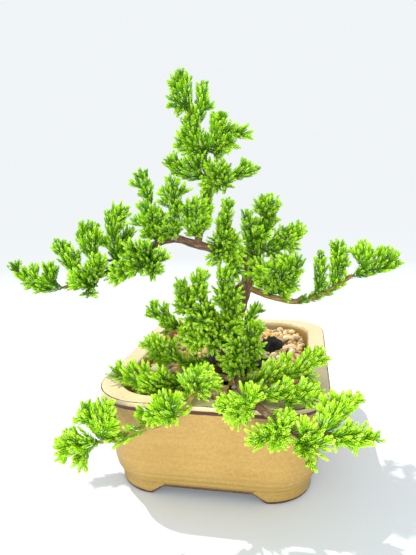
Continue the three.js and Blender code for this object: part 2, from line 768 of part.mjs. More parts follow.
function spraySolid(name, extra) {
  const { stem, main, sides } = SPRAYS[name];
  const [start, bend, tip] = vectors(main);
  const random = randomStream(SPRAY_SEED + name.length + tip.z);
  const foot = nearestOnCurve(stemCurve(STEMS[stem].route), start);
  const mainTwig = new THREE.QuadraticBezierCurve3(foot, bend, tip);
  const twigs = [mainTwig, ...vectors(sides).map((side) => sideCurve(mainTwig, side))];
  const leafy = twigs.map((twig) => stemSolid(twig, LEAFY_RADII, TWIG_SIDES, TWIG_STEPS, extra));
  return joined([...leafy, ...shootSolids(mainTwig, MAIN_SHOOTS, random, extra)]);
}

// ---------------------------------------------------------------- putting it together

function material(color, roughness) {
  return new THREE.MeshStandardMaterial({ color, roughness, metalness: 0 });
}

function piece(name, solid, finish) {
  const mesh = new THREE.Mesh(geometryOf(solid), finish);
  mesh.name = name;
  return mesh;
}

const MATERIALS = {
  glaze: () => material(0xdcb96e, 0.35),
  soil: () => material(0x1d1712, 0.95),
  gravel: () => material(0xcbb08a, 0.8),
  bark: () => material(0x8a6238, 0.85),
  foliage: () => material(0x5fae1e, 0.6),
  mesh: () => material(0x20231f, 0.7),
  wire: () => material(0x8d9092, 0.4),
};

const PEBBLE_TOP = GRAVEL_TOP - PEBBLE_SINK + (PEBBLE_SIZES[1] / 2) * PEBBLE_SHAPE[2];
const GROUND_OVERLAP = 1;

function bonsai() {
  const group = new THREE.Group();
  const add = (name, solid, finish) => group.add(piece(name, solid, MATERIALS[finish]()));

  const stemNames = Object.keys(STEMS);
  const grownWood = stemNames.map((name) => woodSolid(name, GAP));
  const grownMounds = SOIL_MOUNDS.map((one) => mound(one, GAP));

  add("pot", potSolid(), "glaze");
  for (const [end, side] of [["front", -1], ["back", 1]]) {
    add(`drain_mesh_${end}`, drainMesh(side * DRAIN_OFFSET), "mesh");
    add(`mesh_wire_${end}`, meshWire(side * DRAIN_OFFSET), "wire");
  }
  add("soil", clearOf(soilSolid(), grownWood), "soil");
  add("gravel_layer", clearOf(gravelSolid(), [...grownWood, ...grownMounds]), "gravel");

  stemNames.forEach((name, i) => {
    add(name, clearOf(woodSolid(name, 0), grownWood.slice(0, i)), "bark");
  });

  // Foliage keeps clear of the pot, the ground in it, the wood and the sprays before it.
  const ground = hollow(FLOOR_TOP, PEBBLE_TOP + GAP, -GROUND_OVERLAP);
  const rimRoom = hollow(GRAVEL_TOP, POT_HEIGHT + 2 * GAP, GAP);
  const grownPlanter = potBody(GAP).subtract(rimRoom).add(ground);
  const keepClear = [grownPlanter, ...grownWood, ...grownMounds];
  for (const name of Object.keys(SPRAYS)) {
    add(`foliage_${name}`, clearOf(spraySolid(name, 0), keepClear), "foliage");
    keepClear.push(spraySolid(name, GAP));
  }

  // Put the origin under the middle of the whole plant, on the surface that the pot stands on.
  const box = new THREE.Box3().setFromObject(group);
  const middle = box.getCenter(new THREE.Vector3());
  group.position.set(-middle.x, -middle.y, -box.min.z);
  return group;
}

export default bonsai();
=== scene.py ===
import math

import bmesh
import bpy
import numpy as np
from mathutils import Matrix, Vector


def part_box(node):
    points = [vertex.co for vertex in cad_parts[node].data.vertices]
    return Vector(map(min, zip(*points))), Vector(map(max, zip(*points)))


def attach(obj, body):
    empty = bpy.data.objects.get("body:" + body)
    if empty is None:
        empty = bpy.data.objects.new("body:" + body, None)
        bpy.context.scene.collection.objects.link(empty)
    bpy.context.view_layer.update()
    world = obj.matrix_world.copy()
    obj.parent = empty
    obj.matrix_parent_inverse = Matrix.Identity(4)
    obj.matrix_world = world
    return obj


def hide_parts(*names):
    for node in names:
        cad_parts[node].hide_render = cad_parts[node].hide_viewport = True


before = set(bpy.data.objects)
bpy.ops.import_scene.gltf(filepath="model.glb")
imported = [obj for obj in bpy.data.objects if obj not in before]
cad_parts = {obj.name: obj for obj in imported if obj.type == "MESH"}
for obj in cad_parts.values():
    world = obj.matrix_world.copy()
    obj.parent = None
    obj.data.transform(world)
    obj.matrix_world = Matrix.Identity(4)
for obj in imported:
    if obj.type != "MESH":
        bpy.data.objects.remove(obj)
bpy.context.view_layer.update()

# A small juniper bonsai in its pot. Shapes are worked out in millimetres round the middle of the
# pot, with the feet on z = 0, and placed in the frame in metres by placed(). The pot's outer sizes
# come from the frame.
MM = 0.001
POT_LOW, POT_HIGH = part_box("pot")
POT_WIDTH, POT_DEPTH, POT_HEIGHT = ((POT_HIGH[i] - POT_LOW[i]) / MM for i in range(3))
POT_MIDDLE = np.array([(POT_LOW[0] + POT_HIGH[0]) / 2, (POT_LOW[1] + POT_HIGH[1]) / 2, 0.0])
UP = np.array([0.0, 0.0, 1.0])
NEAR_UP = UP + 0.01
GOLDEN_ANGLE = math.radians(137.5)

# Pot
POT_CORNER = 33.0
RIM_WIDTH = 12.5
BASE_INSET = 10.6
DEPTH_TAPER = 0.85  # the long walls lean in less than the short ones
FLOOR_BOTTOM = 5.2
FLOOR_TOP = 11.5
CAVITY_TAPER = 5.0
FOOT_WIDTH = 13.0
FOOT_LENGTH = 24.0
FOOT_SLOPE = 10.0
DRAIN_RADIUS = 6.5
DRAIN_OFFSET = 44.0

# Ground in the pot
SOIL_TOP = 49.5
GRAVEL_TOP = 53.5
WALL_GAP = 0.4

# Foliage: a twig carries fingers, which are short shoots closed in needles
NEEDLE_LENGTH = 3.3
NEEDLE_WIDTH = 0.74
WHORL_STEP = 0.85
FINGER_LENGTH = 11.5
FINGER_STEP = 1.35
LEAD_ROOM = 5.0  # how far behind a twig's tip its last side finger grows
TWIG_RADII = [0.9, 0.45]
FINGER_RADII = [0.5, 0.3]

# Stems: route from parent to tip, and the radii along the way
STEMS = {
    "trunk": (
        [[0, 2, 38], [1, 1, 56], [4, 2, 76], [9, 4, 96], [14, 3, 112], [16, 2, 125], [11, 0, 134]],
        [9, 7.5, 5.2, 4.8, 4.8, 3.6, 3.2]),
    "left_limb": (
        [[11, 0, 133], [-4, -2, 136], [-21, -5, 141], [-36, -8, 145], [-52, -12, 139],
         [-74, -16, 126], [-92, -21, 118], [-110, -26, 113]],
        [3, 2.8, 2.6, 1.8, 1.2]),
    "upper_left_branch": ([[-36, -8, 145], [-46, -3, 154], [-56, 4, 168]], [1.8, 1.2]),
    "dead_stub": ([[-33, -8, 144], [-38, -12, 155], [-43, -14, 166]], [2, 1.5]),
    "leader": (
        [[-19, -5, 140], [-15, 0, 161], [-12, 4, 184], [-17, 4, 205], [-21, 2, 221], [-25, 0, 238]],
        [2.4, 2.1, 1.2]),
    "right_stem": ([[15, 3, 113], [22, -2, 130], [27, -6, 148]], [2.2, 1.4]),
    "right_branch": (
        [[13, 3, 110], [24, 0, 106], [36, -4, 103], [50, -8, 102], [62, -10, 106], [72, -12, 112],
         [84, -14, 121]],
        [2.4, 1.7, 1.2]),
    "front_left_branch": (
        [[0, -2, 58], [-3, -30, 60], [-4, -55, 61], [-4, -78, 66], [-5, -93, 68], [-10, -104, 63],
         [-20, -110, 59], [-30, -112, 56], [-38, -116, 53], [-48, -119, 52]],
        [2.8, 2.4, 2, 1.2]),
    "front_right_branch": (
        [[2, -2, 58], [12, -41, 61], [17, -62, 63], [21, -82, 66], [28, -94, 67], [34, -101, 66],
         [40, -105, 64], [46, -108, 61], [55, -111, 59], [68, -110, 60]],
        [3, 2.6, 2.2, 1.3]),
}

# Sprays: the stem that each grows from, its main twig as start, bend and tip, and the tips of the side
# twigs that fork from the main one. Each place was picked over the photo, with a depth chosen for it, and
# turned into whole millimetres with the camera below. Some were then moved.
SPRAYS = {
    "apex_tip": ("leader", [[-23, 1, 230], [-26, -2, 244], [-28, -4, 257]], [
        [-37, -12, 246], [-39, -10, 232], [-21, 6, 252], [-33, -8, 253], [-34, -6, 226], [-36, -8, 242],
        [-36, -10, 242], [-30, -6, 226], [-19, -4, 240]]),
    "apex_second": ("leader", [[-18, 4, 217], [-17, 8, 234], [-14, 10, 251]], [
        [-5, 12, 234], [-18, 2, 248], [-11, 14, 247], [-21, 6, 247], [-20, 4, 244], [-21, 4, 249]]),
    "apex_right": ("leader", [[-15, 4, 201], [-5, 0, 211], [1, -4, 228]], [
        [23, -12, 210], [14, -8, 204], [-5, -10, 225], [1, -2, 193], [-11, 2, 229], [-12, 0, 221],
        [17, -8, 212], [6, -6, 203], [-11, 2, 225], [9, -6, 205], [-35, -4, 206], [-27, -8, 200],
        [-31, -8, 201], [6, -10, 201]]),
    "apex_low_right": ("leader", [[-12, 4, 186], [7, 10, 185], [24, 14, 192]], [
        [2, -18, 177], [-11, -14, 193], [-2, -14, 193], [13, 12, 201], [-4, -4, 180], [-8, -14, 189],
        [-14, -10, 184], [-7, -12, 176], [20, 12, 196], [13, 12, 200], [-17, -8, 178], [-12, -8, 192],
        [-11, -8, 183]]),
    "apex_mid_left": ("leader", [[-17, 4, 202], [-21, -6, 212], [-25, -8, 224]], [
        [-32, -12, 213], [-36, -10, 207], [-16, -12, 222], [-34, -4, 204], [-26, -6, 228]]),
    "apex_low_left": ("leader", [[-13, 4, 187], [-29, 8, 186], [-43, 10, 195]], [
        [-33, 0, 200], [-14, 34, 220], [-39, 6, 204], [-25, -4, 203], [-16, -6, 192], [-37, -4, 205],
        [-12, -8, 203]]),
    "left_fan": ("left_limb", [[-34, -8, 145], [-30, -18, 162], [-31, -26, 188]], [
        [-37, -28, 186], [-15, -24, 179], [-44, -24, 177], [-22, -26, 184], [-23, -26, 162],
        [-45, -20, 172], [-40, -24, 144], [-29, -26, 147], [-42, -22, 145], [-33, -22, 144],
        [-43, -26, 144]]),
    "left_upright": ("upper_left_branch", [[-54, 3, 165], [-58, 6, 178], [-59, 8, 190]], [
        [-74, 12, 183], [-70, 10, 191], [-62, 4, 191], [-67, 4, 175], [-58, -4, 170]]),
    "left_shoulder": ("left_limb", [[-46, -11, 142], [-45, -16, 153], [-50, -18, 167]], [
        [-32, -20, 163], [-55, -24, 158], [-40, -28, 163], [-36, -26, 145], [-62, -12, 161],
        [-54, -16, 155], [-58, -16, 150], [-67, -12, 156], [-49, -24, 145], [-58, -18, 147],
        [-61, -14, 169], [-55, -26, 149], [-40, -22, 142]]),
    "centre_left": ("leader", [[-17, -4, 144], [-22, -12, 155], [-24, -14, 167]], [
        [-11, -16, 173], [-16, -22, 169], [-8, -12, 168], [-11, -14, 154], [-21, -20, 147],
        [-13, -14, 145], [-6, -14, 162], [-8, -10, 174], [-4, -12, 166], [-6, -12, 154], [-5, -12, 159],
        [-25, -20, 148], [-13, -16, 147], [-3, -14, 169], [-6, -12, 163]]),
    "left_tip": ("left_limb", [[-110, -26, 113], [-132, -31, 112], [-144, -34, 129]], [
        [-119, -28, 135], [-127, -27, 133], [-139, -28, 134], [-133, -40, 116], [-115, -24, 131],
        [-129, -34, 112], [-114, -32, 113], [-121, -40, 114], [-131, -38, 114], [-125, -42, 112],
        [-134, -40, 113]]),
    "left_outer": ("left_limb", [[-97, -23, 116], [-109, -22, 129], [-119, -20, 146]], [
        [-113, -18, 147], [-107, -14, 145], [-119, -28, 140], [-98, -18, 130], [-102, -24, 143],
        [-97, -26, 135], [-96, -26, 142]]),
    "left_middle": ("left_limb", [[-86, -19, 121], [-93, -16, 137], [-105, -14, 150]], [
        [-93, -10, 160], [-89, -4, 158], [-99, -13, 150], [-84, -16, 130], [-102, -18, 140],
        [-86, -14, 152], [-82, -20, 155]]),
    "left_under": ("left_limb", [[-90, -20, 120], [-87, -38, 118], [-85, -44, 110]], [
        [-103, -40, 126], [-89, -38, 135], [-101, -42, 118], [-80, -38, 130], [-77, -42, 110],
        [-82, -30, 140], [-78, -30, 139], [-105, -32, 119], [-74, -34, 136], [-105, -36, 116],
        [-79, -34, 141], [-72, -38, 140], [-103, -38, 123]]),
    "left_inner": ("left_limb", [[-74, -16, 126], [-79, -12, 146], [-80, -8, 164]], [
        [-64, -12, 169], [-86, -8, 165], [-68, -20, 162], [-76, -25, 113], [-62, -12, 164],
        [-85, -14, 156], [-69, -16, 153], [-65, -20, 158]]),
    "left_lower": ("left_limb", [[-53, -12, 139], [-45, -36, 133], [-37, -46, 124]], [
        [-61, -44, 125], [-27, -42, 141], [-61, -42, 146], [-47, -44, 149], [-48, -48, 126],
        [-74, -38, 122], [-71, -40, 119], [-70, -42, 127], [-73, -44, 118], [-32, -46, 132],
        [-73, -44, 122]]),
    "left_back": ("left_limb", [[-62, -14, 133], [-85, 14, 133], [-109, 36, 140]], [
        [-75, 32, 151], [-125, 40, 129]]),
    "centre_tall": ("left_limb", [[-2, -2, 136], [0, -12, 152], [7, -16, 173]], [
        [7, -18, 161], [-1, -18, 172], [10, -20, 146], [2, -28, 153], [-6, -32, 128], [14, -28, 140],
        [4, -34, 143], [0, -34, 126], [9, -30, 131], [13, -24, 134], [11, -22, 122], [13, -20, 139],
        [14, -22, 127], [13, -24, 115], [-2, -18, 167], [-2, -20, 161], [15, -16, 130], [14, -16, 120]]),
    "low_left": ("trunk", [[1, 1, 63], [-29, -8, 77], [-57, -12, 96]], [
        [-49, -8, 104], [-57, -18, 91], [-40, -16, 103], [-47, -16, 86], [-38, -20, 81], [-47, -16, 82],
        [-41, -18, 80], [-44, -20, 78]]),
    "low_middle": ("trunk", [[2, 1, 67], [-24, -18, 91], [-28, -26, 121]], [
        [-33, -28, 116], [-22, -34, 114], [-23, -40, 101], [-32, -26, 108], [-26, -24, 94],
        [-21, -44, 80], [-23, -46, 78], [-31, -26, 111], [-27, -34, 98], [-33, -28, 102], [-18, -50, 79],
        [-4, -38, 115], [-32, -30, 106], [-28, -36, 96], [-8, -58, 80], [-21, -48, 82]]),
    "low_front": ("trunk", [[2, 2, 70], [-11, -30, 96], [-14, -36, 125]], [
        [-5, -40, 127], [-12, -50, 111], [-18, -54, 93], [-6, -60, 94], [-8, -40, 76], [-4, -36, 119],
        [4, -50, 81], [0, -58, 77], [-6, -56, 84], [-14, -52, 81], [-4, -30, 126], [-5, -34, 116],
        [-10, -54, 81], [-6, -34, 130], [-16, -54, 78]]),
    "low_right": ("trunk", [[4, 2, 75], [3, -24, 104], [3, -34, 129]], [
        [13, -34, 128], [18, -32, 109], [-1, -46, 106], [12, -46, 119], [16, -38, 104], [13, -42, 88],
        [17, -40, 96], [10, -46, 84], [15, -44, 78], [-3, -36, 124], [-1, -40, 109], [13, -12, 106],
        [16, -10, 99], [13, -16, 94]]),
    "low_back": ("trunk", [[5, 3, 73], [12, 30, 70], [19, 38, 90]], [
        [26, 40, 82], [11, 28, 85], [-40, 52, 70]]),
    "centre_right": ("trunk", [[1, 1, 55], [17, -20, 62], [25, -30, 89]], [
        [29, -36, 72], [22, -40, 60], [9, -36, 90], [5, -40, 60], [29, -28, 94], [7, -44, 74],
        [13, -52, 67], [5, -56, 68], [28, -40, 70], [6, -54, 82], [3, -58, 72], [3, -60, 76],
        [8, -60, 65], [12, -58, 66], [19, -20, 93]]),
    "right_crown": ("right_stem", [[26, -5, 141], [29, -8, 157], [30, -12, 174]], [
        [22, -16, 170], [41, -12, 168], [24, -30, 164], [37, -28, 166], [35, -8, 156], [34, -20, 162],
        [37, -20, 163], [36, -18, 154], [38, -20, 167], [39, -22, 158]]),
    "right_crown_low": ("right_stem", [[21, -2, 129], [17, -14, 140], [17, -18, 162]], [
        [26, -34, 154], [35, -38, 147], [31, 34, 150], [19, -20, 141], [22, -18, 166]]),
    "right_side": ("right_stem", [[24, -3, 135], [40, -6, 140], [57, -10, 153]], [
        [46, 0, 156], [51, 0, 156], [53, -12, 142], [41, -28, 151], [45, 28, 141], [33, -16, 129],
        [40, -4, 131], [50, -12, 142], [44, -18, 138], [47, -14, 137], [49, -14, 137], [36, -18, 149],
        [44, -20, 138], [49, -18, 134]]),
    "right_low": ("right_branch", [[29, -1, 105], [42, -14, 116], [53, -20, 129]], [
        [51, -24, 111], [36, -26, 134], [28, -32, 129], [44, -14, 104], [25, -28, 131], [22, -28, 120],
        [30, -24, 113], [43, -20, 108], [47, -16, 103], [19, -22, 127], [23, -24, 119], [27, -24, 112],
        [48, -15, 105], [45, -22, 138], [36, -24, 138], [30, -26, 135], [21, -24, 131], [20, -26, 117],
        [16, -14, 134], [14, -14, 124]]),
    "right_inner": ("right_branch", [[63, -10, 106], [66, -9, 121], [64, -8, 136]], [
        [67, -12, 137], [61, -2, 117], [68, -8, 138], [68, -12, 127], [67, -8, 132]]),
    "right_rise": ("right_branch", [[73, -12, 112], [76, -10, 125], [75, -8, 142]], [
        [68, -14, 142], [82, -6, 141], [83, -22, 131], [71, -10, 123], [83, -14, 124], [86, -12, 138],
        [69, -14, 116], [68, -10, 139], [68, -12, 130], [67, -12, 120], [69, -14, 134]]),
    "right_tip": ("right_branch", [[84, -14, 121], [100, -16, 125], [114, -18, 131]], [
        [88, -12, 147], [94, -12, 143], [101, -16, 144], [108, -20, 140], [111, -22, 130], [82, -14, 142],
        [86, -14, 129], [89, -12, 145], [101, -14, 142], [84, -16, 124]]),
    "front_left_tip": ("front_left_branch", [[-48, -119, 52], [-61, -124, 50], [-71, -128, 52]], [
        [-65, -126, 62], [-55, -130, 40], [-66, -130, 43], [-49, -122, 49], [-65, -128, 44],
        [-55, -130, 41], [-59, -124, 58], [-66, -130, 41], [-55, -132, 38], [-47, -122, 51],
        [-61, -126, 63], [-55, -125, 57], [-49, -123, 55]]),
    "front_left_rise": ("front_left_branch", [[-46, -118, 52], [-50, -120, 60], [-57, -120, 73]], [
        [-51, -116, 74], [-49, -112, 72], [-61, -127, 65], [-42, -108, 73], [-40, -110, 64],
        [-41, -115, 51], [-44, -110, 70], [-38, -112, 58], [-42, -110, 66], [-39, -112, 61],
        [-41, -110, 70], [-39, -112, 64], [-39, -112, 69], [-37, -114, 63], [-36, -114, 57],
        [-53, -122, 60], [-49, -120, 57], [-43, -112, 66], [-42, -113, 60]]),
    "front_pad": ("front_left_branch", [[-11, -105, 63], [-19, -110, 65], [-30, -112, 65]], [
        [-24, -102, 70], [-22, -98, 74], [-11, -114, 58], [-10, -96, 73], [-25, -113, 57],
        [-21, -114, 59], [-9, -106, 59], [-11, -102, 63], [-6, -96, 65], [-30, -110, 67], [-17, -114, 59],
        [-12, -112, 59], [-7, -104, 63], [-30, -112, 63], [-22, -116, 58], [-13, -116, 58],
        [-7, -110, 59], [-4, -100, 64]]),
    "front_middle": ("front_left_branch", [[-5, -86, 67], [-8, -84, 70], [-14, -78, 76]], [
        [-5, -86, 81], [7, -86, 81], [11, -84, 76], [3, -92, 81], [-8, -94, 64], [8, -74, 68],
        [2, -84, 64], [11, -72, 65], [6, -84, 65], [9, -76, 71], [-6, -92, 63], [1, -88, 64],
        [6, -86, 64], [7, -72, 74]]),
    "inner_left": ("front_left_branch", [[-4, -52, 61], [-27, -72, 60], [-63, -64, 67]], [
        [-59, -66, 78], [-50, -64, 79], [-40, -70, 80], [-30, -80, 76], [-56, -62, 57], [-42, -76, 57],
        [-49, -70, 57], [-36, -78, 58], [-53, -70, 59], [-44, -76, 58], [-54, -72, 62], [-45, -76, 58],
        [-35, -82, 58]]),
    "inner_left_back": ("front_left_branch", [[-3, -27, 59], [-29, -34, 61], [-51, -42, 83]], [
        [-39, -38, 88], [-27, -42, 87], [-50, -48, 77], [-30, -56, 85], [-46, -34, 68], [-35, -42, 65],
        [-48, -40, 72], [-42, -36, 63], [-45, -44, 68], [-34, -42, 63], [-47, -48, 71], [-37, -48, 64],
        [-42, -48, 67]]),
    "front_right_front": ("front_right_branch", [[28, -93, 67], [21, -99, 64], [9, -98, 67]], [
        [13, -94, 74], [15, -106, 58], [29, -92, 80], [36, -98, 76], [24, -104, 57], [30, -98, 67],
        [18, -104, 58], [29, -103, 61], [16, -106, 58], [25, -104, 59], [29, -101, 66], [31, -98, 69],
        [10, -104, 70], [11, -106, 65], [18, -108, 56], [27, -106, 57], [31, -104, 70], [32, -106, 65]]),
    "front_right_drop": ("front_right_branch", [[46, -104, 60], [38, -116, 57], [24, -120, 60]], [
        [44, -122, 53], [50, -116, 67], [33, -124, 60], [50, -112, 57], [46, -104, 67], [51, -106, 64],
        [48, -122, 59], [50, -104, 68], [53, -108, 71], [47, -124, 58], [51, -120, 61]]),
    "front_right_hang": ("front_right_branch", [[55, -106, 59], [54, -122, 57], [59, -126, 50]], [
        [62, -126, 55], [71, -120, 62], [57, -116, 74]]),
    "front_right_tip": ("front_right_branch", [[65, -108, 59], [77, -112, 58], [91, -114, 62]], [
        [85, -112, 68], [78, -118, 53], [68, -118, 54], [78, -106, 69], [90, -115, 64], [79, -120, 54]]),
    "front_right_rise": ("front_right_branch", [[61, -107, 59], [71, -100, 65], [85, -94, 77]], [
        [76, -94, 71], [67, -90, 75], [85, -100, 72], [80, -106, 72], [61, -98, 71], [63, -90, 73],
        [60, -104, 66], [61, -100, 74], [58, -106, 69]]),
    "inner_right": ("front_right_branch", [[16, -58, 62], [46, -62, 64], [67, -48, 84]], [
        [36, -56, 82], [41, -54, 84], [54, -50, 85], [60, -44, 83], [70, -60, 76], [63, -70, 70],
        [62, -60, 78], [53, -48, 79], [66, -62, 76], [33, -54, 78], [61, -66, 74]]),
    "inner_right_front": ("front_right_branch", [[28, -80, 64], [47, -84, 67], [64, -84, 70]], [
        [47, -76, 77], [55, -80, 79], [57, -99, 66], [49, -98, 62], [60, -84, 71], [64, -86, 74],
        [60, -90, 62], [66, -88, 73]]),
}


# ---------------- curves and small helpers

CURVE_SAMPLES = 24
OFF_AXIS = [0.3, 1.0, 0.2]  # an odd direction, which hardly any twig sets out in


def unit(vectors):
    """Vectors of length 1, along the last axis."""
    size = np.linalg.norm(vectors, axis=-1, keepdims=True)
    return vectors / np.maximum(size, 1e-9)


def route_curve(route, count):
    """Evenly spaced points on a smooth Catmull-Rom curve through the route's points."""
    points = np.array(route, float)
    before, after = [2 * points[0] - points[1]], [2 * points[-1] - points[-2]]
    padded = np.concatenate([before, points, after])
    t = np.linspace(0, 1, CURVE_SAMPLES, endpoint=False)[:, None]
    samples = []
    for i in range(len(points) - 1):
        a, b, c, d = padded[i:i + 4]
        samples.append(0.5 * (2 * b + (c - a) * t + (2 * a - 5 * b + 4 * c - d) * t ** 2
                              + (3 * b - a - 3 * c + d) * t ** 3))
    return resampled(np.concatenate(samples + [points[-1:]]), count)


def arc_curve(start, bend, tip, count=CURVE_SAMPLES):
    """Points on the arc that leaves start towards bend and comes in to tip."""
    t = np.linspace(0, 1, count)[:, None]
    return (1 - t) ** 2 * start + 2 * t * (1 - t) * bend + t ** 2 * tip


def distances_along(points):
    """How far along the polyline each of its points is."""
    return np.concatenate([[0], np.cumsum(np.linalg.norm(np.diff(points, axis=0), axis=1))])


def resampled(dense, count):
    """The same polyline with count points, evenly spaced."""
    reach = distances_along(dense)
    wanted = np.linspace(0, reach[-1], count)
    return np.stack([np.interp(wanted, reach, dense[:, k]) for k in range(3)], axis=1)


def length_of(points):
    return np.linalg.norm(np.diff(points, axis=0), axis=1).sum()


def tangents_of(points):
    return unit(np.gradient(points, axis=0))


def spread_radii(radii, count):
    """The few radii that a stem is given, spread over count points along it."""
    return np.interp(np.linspace(0, 1, count), np.linspace(0, 1, len(radii)), radii)


def circle_angles(sides):
    return 2 * np.pi * np.arange(sides) / sides


def ring_axes(tangents):
    """Two directions across each tangent, turned as little as possible from one to the next."""
    sides = [unit(np.cross(tangents[0], OFF_AXIS))]
    for tangent in tangents[1:]:
        side = sides[-1] - tangent * np.dot(sides[-1], tangent)
        sides.append(side / np.linalg.norm(side))
    sides = np.array(sides)
    return sides, np.cross(tangents, sides)


def turned(vector, axis, angle):
    """The vector turned round the axis."""
    cosine, sine = math.cos(angle), math.sin(angle)
    along = axis * np.dot(axis, vector) * (1 - cosine)
    return vector * cosine + np.cross(axis, vector) * sine + along


NOISE_OCTAVES = 3
NOISE_WAVES = 5
NOISE_FINER = 1.9
NOISE_FAINTER = 1.7


def smooth_noise(points, scale, seed):
    """Smooth values from about -1 to 1 at each point: sine waves in odd directions, in octaves that
    get finer and fainter."""
    random = np.random.default_rng(seed)
    total = np.zeros(len(points))
    for octave in range(NOISE_OCTAVES):
        for _ in range(NOISE_WAVES):
            way = unit(random.normal(size=3))
            wave = way * (2 * math.pi * (NOISE_FINER ** octave) / scale)
            phase = random.uniform(0, 2 * math.pi)
            total += np.sin(points @ wave + phase) / (NOISE_FAINTER ** octave)
    return total / NOISE_WAVES


# ---------------- meshes

# How far the map of needles and stones stays from its lower and upper edge, and the needles from
# its left and right edge
MAP_EDGE = 0.01
MAP_MARGIN = 0.001


def placed(points):
    """Points in millimetres round the pot's middle, as metres in the frame."""
    return np.asarray(points) * MM + POT_MIDDLE


def make_object(name, points, faces, material):
    """A smooth mesh object from points in millimetres and faces of any number of corners."""
    sizes = [len(face) for face in faces]
    return mesh_object(name, points, np.concatenate(faces), sizes, material, smooth=True)


def mesh_object(name, points, loops, sizes, material, smooth=False, uv=None):
    """A mesh object. loops are the corners of all its faces, and sizes how many each face has."""
    mesh = bpy.data.meshes.new(name)
    mesh.vertices.add(len(points))
    mesh.vertices.foreach_set("co", placed(points).astype(np.float32).ravel())
    mesh.loops.add(len(loops))
    mesh.loops.foreach_set("vertex_index", np.asarray(loops, np.int32))
    mesh.polygons.add(len(sizes))
    starts = np.concatenate([[0], np.cumsum(sizes)[:-1]]).astype(np.int32)
    mesh.polygons.foreach_set("loop_start", starts)
    mesh.polygons.foreach_set("use_smooth", np.full(len(sizes), smooth))
    if uv is not None:
        layer = mesh.uv_layers.new(name="OFBake")
        layer.data.foreach_set("uv", uv.astype(np.float32).ravel())
    mesh.update(calc_edges=True)
    mesh.validate()
    mesh.materials.append(material)
    obj = bpy.data.objects.new(name, mesh)
    bpy.context.scene.collection.objects.link(obj)
    return obj


def set_values(obj, name, values):
    """A number for each vertex, which a material can read by name."""
    attribute = obj.data.attributes.new(name, "FLOAT", "POINT")
    attribute.data.foreach_set("value", np.asarray(values, np.float32))


def grid_faces(rows, columns):
    """Quads between rows of points that each close on themselves."""
    faces = []
    for row in range(rows - 1):
        for column in range(columns):
            after = (column + 1) % columns
            faces.append((row * columns + column, row * columns + after,
                          (row + 1) * columns + after, (row + 1) * columns + column))
    return faces


def closed_faces(rows, columns):
    """The quads between the rows, and a face over the first row and over the last."""
    first = tuple(reversed(range(columns)))
    last = tuple(range((rows - 1) * columns, rows * columns))
    return grid_faces(rows, columns) + [first, last]


def finish_piece(obj, slot, *nodes):
    """The piece rides with the plant and stands for its nodes. The slot is not used."""
    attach(obj, "root")
    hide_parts(*nodes)


# ---------------- materials

# A mix node has a set of sockets for each kind of value, under the same names, so the colour ones
# go by number: factor, first and second, and the result
MIX_INPUTS = (0, 6, 7)
MIX_OUTPUT = 2


class Nodes:
    """Short calls for building a material's nodes."""

    def __init__(self, name, roughness):
        self.material = bpy.data.materials.new(name)
        self.material.use_nodes = True
        self.tree = self.material.node_tree
        self.shader = self.tree.nodes["Principled BSDF"]
        self.shader.inputs["Roughness"].default_value = roughness

    def put(self, value, socket):
        """Links another socket, or sets a number, a vector or a colour of three numbers."""
        if isinstance(value, bpy.types.NodeSocket):
            self.tree.links.new(value, socket)
        elif socket.type == "RGBA":
            socket.default_value = (*value, 1.0)
        else:
            socket.default_value = value

    def add(self, kind, inputs=(), **settings):
        node = self.tree.nodes.new(kind)
        for key, value in settings.items():
            setattr(node, key, value)
        for key, value in dict(inputs).items():
            self.put(value, node.inputs[key])
        return node

    def noise(self, vector, scale, detail=4.0, roughness=0.55):
        node = self.add("ShaderNodeTexNoise", {
            "Vector": vector, "Scale": scale, "Detail": detail, "Roughness": roughness})
        return node.outputs["Fac"]

    def place(self):
        """Where a point is in the frame, in metres."""
        return self.add("ShaderNodeTexCoord").outputs["Object"]

    def parts(self, vector):
        return self.add("ShaderNodeSeparateXYZ", {"Vector": vector}).outputs

    def stretched(self, vector, scale):
        return self.add("ShaderNodeMapping", {"Vector": vector, "Scale": scale}).outputs["Vector"]

    def ramp(self, factor, stops):
        """Colours at places from 0 to 1. A stop's colour can also be one number, for a grey."""
        node = self.add("ShaderNodeValToRGB", {"Fac": factor})
        ramp = node.color_ramp
        while len(ramp.elements) < len(stops):
            ramp.elements.new(0.5)
        for element, (position, colour) in zip(ramp.elements, stops):
            tone = colour if isinstance(colour, tuple) else (colour,) * 3
            element.position = position
            element.color = (*tone, 1.0)
        return node.outputs["Color"]

    def fade(self, factor, start, end, most=1.0):
        """Nothing up to start, and from there up to most at end."""
        return self.ramp(factor, [(start, 0.0), (end, most)])

    def mix(self, factor, first, second, blend="MIX"):
        node = self.add("ShaderNodeMix", data_type="RGBA", blend_type=blend)
        for number, value in zip(MIX_INPUTS, (factor, first, second)):
            self.put(value, node.inputs[number])
        return node.outputs[MIX_OUTPUT]

    def maths(self, operation, first, second):
        node = self.add("ShaderNodeMath", {0: first, 1: second}, operation=operation)
        return node.outputs[0]

    def colour(self, socket):
        self.put(socket, self.shader.inputs["Base Color"])

    def bump(self, height, distance, strength):
        node = self.add("ShaderNodeBump", {
            "Height": height, "Distance": distance, "Strength": strength})
        self.put(node.outputs["Normal"], self.shader.inputs["Normal"])


GLAZE_TONES = [(0.3, (0.360, 0.222, 0.055)), (0.7, (0.425, 0.272, 0.078))]
GLAZE_OLIVE = (0.29, 0.19, 0.042)
# Paler glaze on the rim: partly a thinner glaze, partly painted light where the rim's top catches the light
GLAZE_RIM_THIN_AND_LIT = (0.76, 0.62, 0.38)
GLAZE_GRAIN = [(0.30, (0.84, 0.82, 0.76)), (0.66, 1.1)]
GLAZE_STREAK = (0.52, 0.38, 0.16)
GLAZE_SPECK = (0.11, 0.06, 0.025)
GLAZE_BREAK = (0.070, 0.026, 0.018)


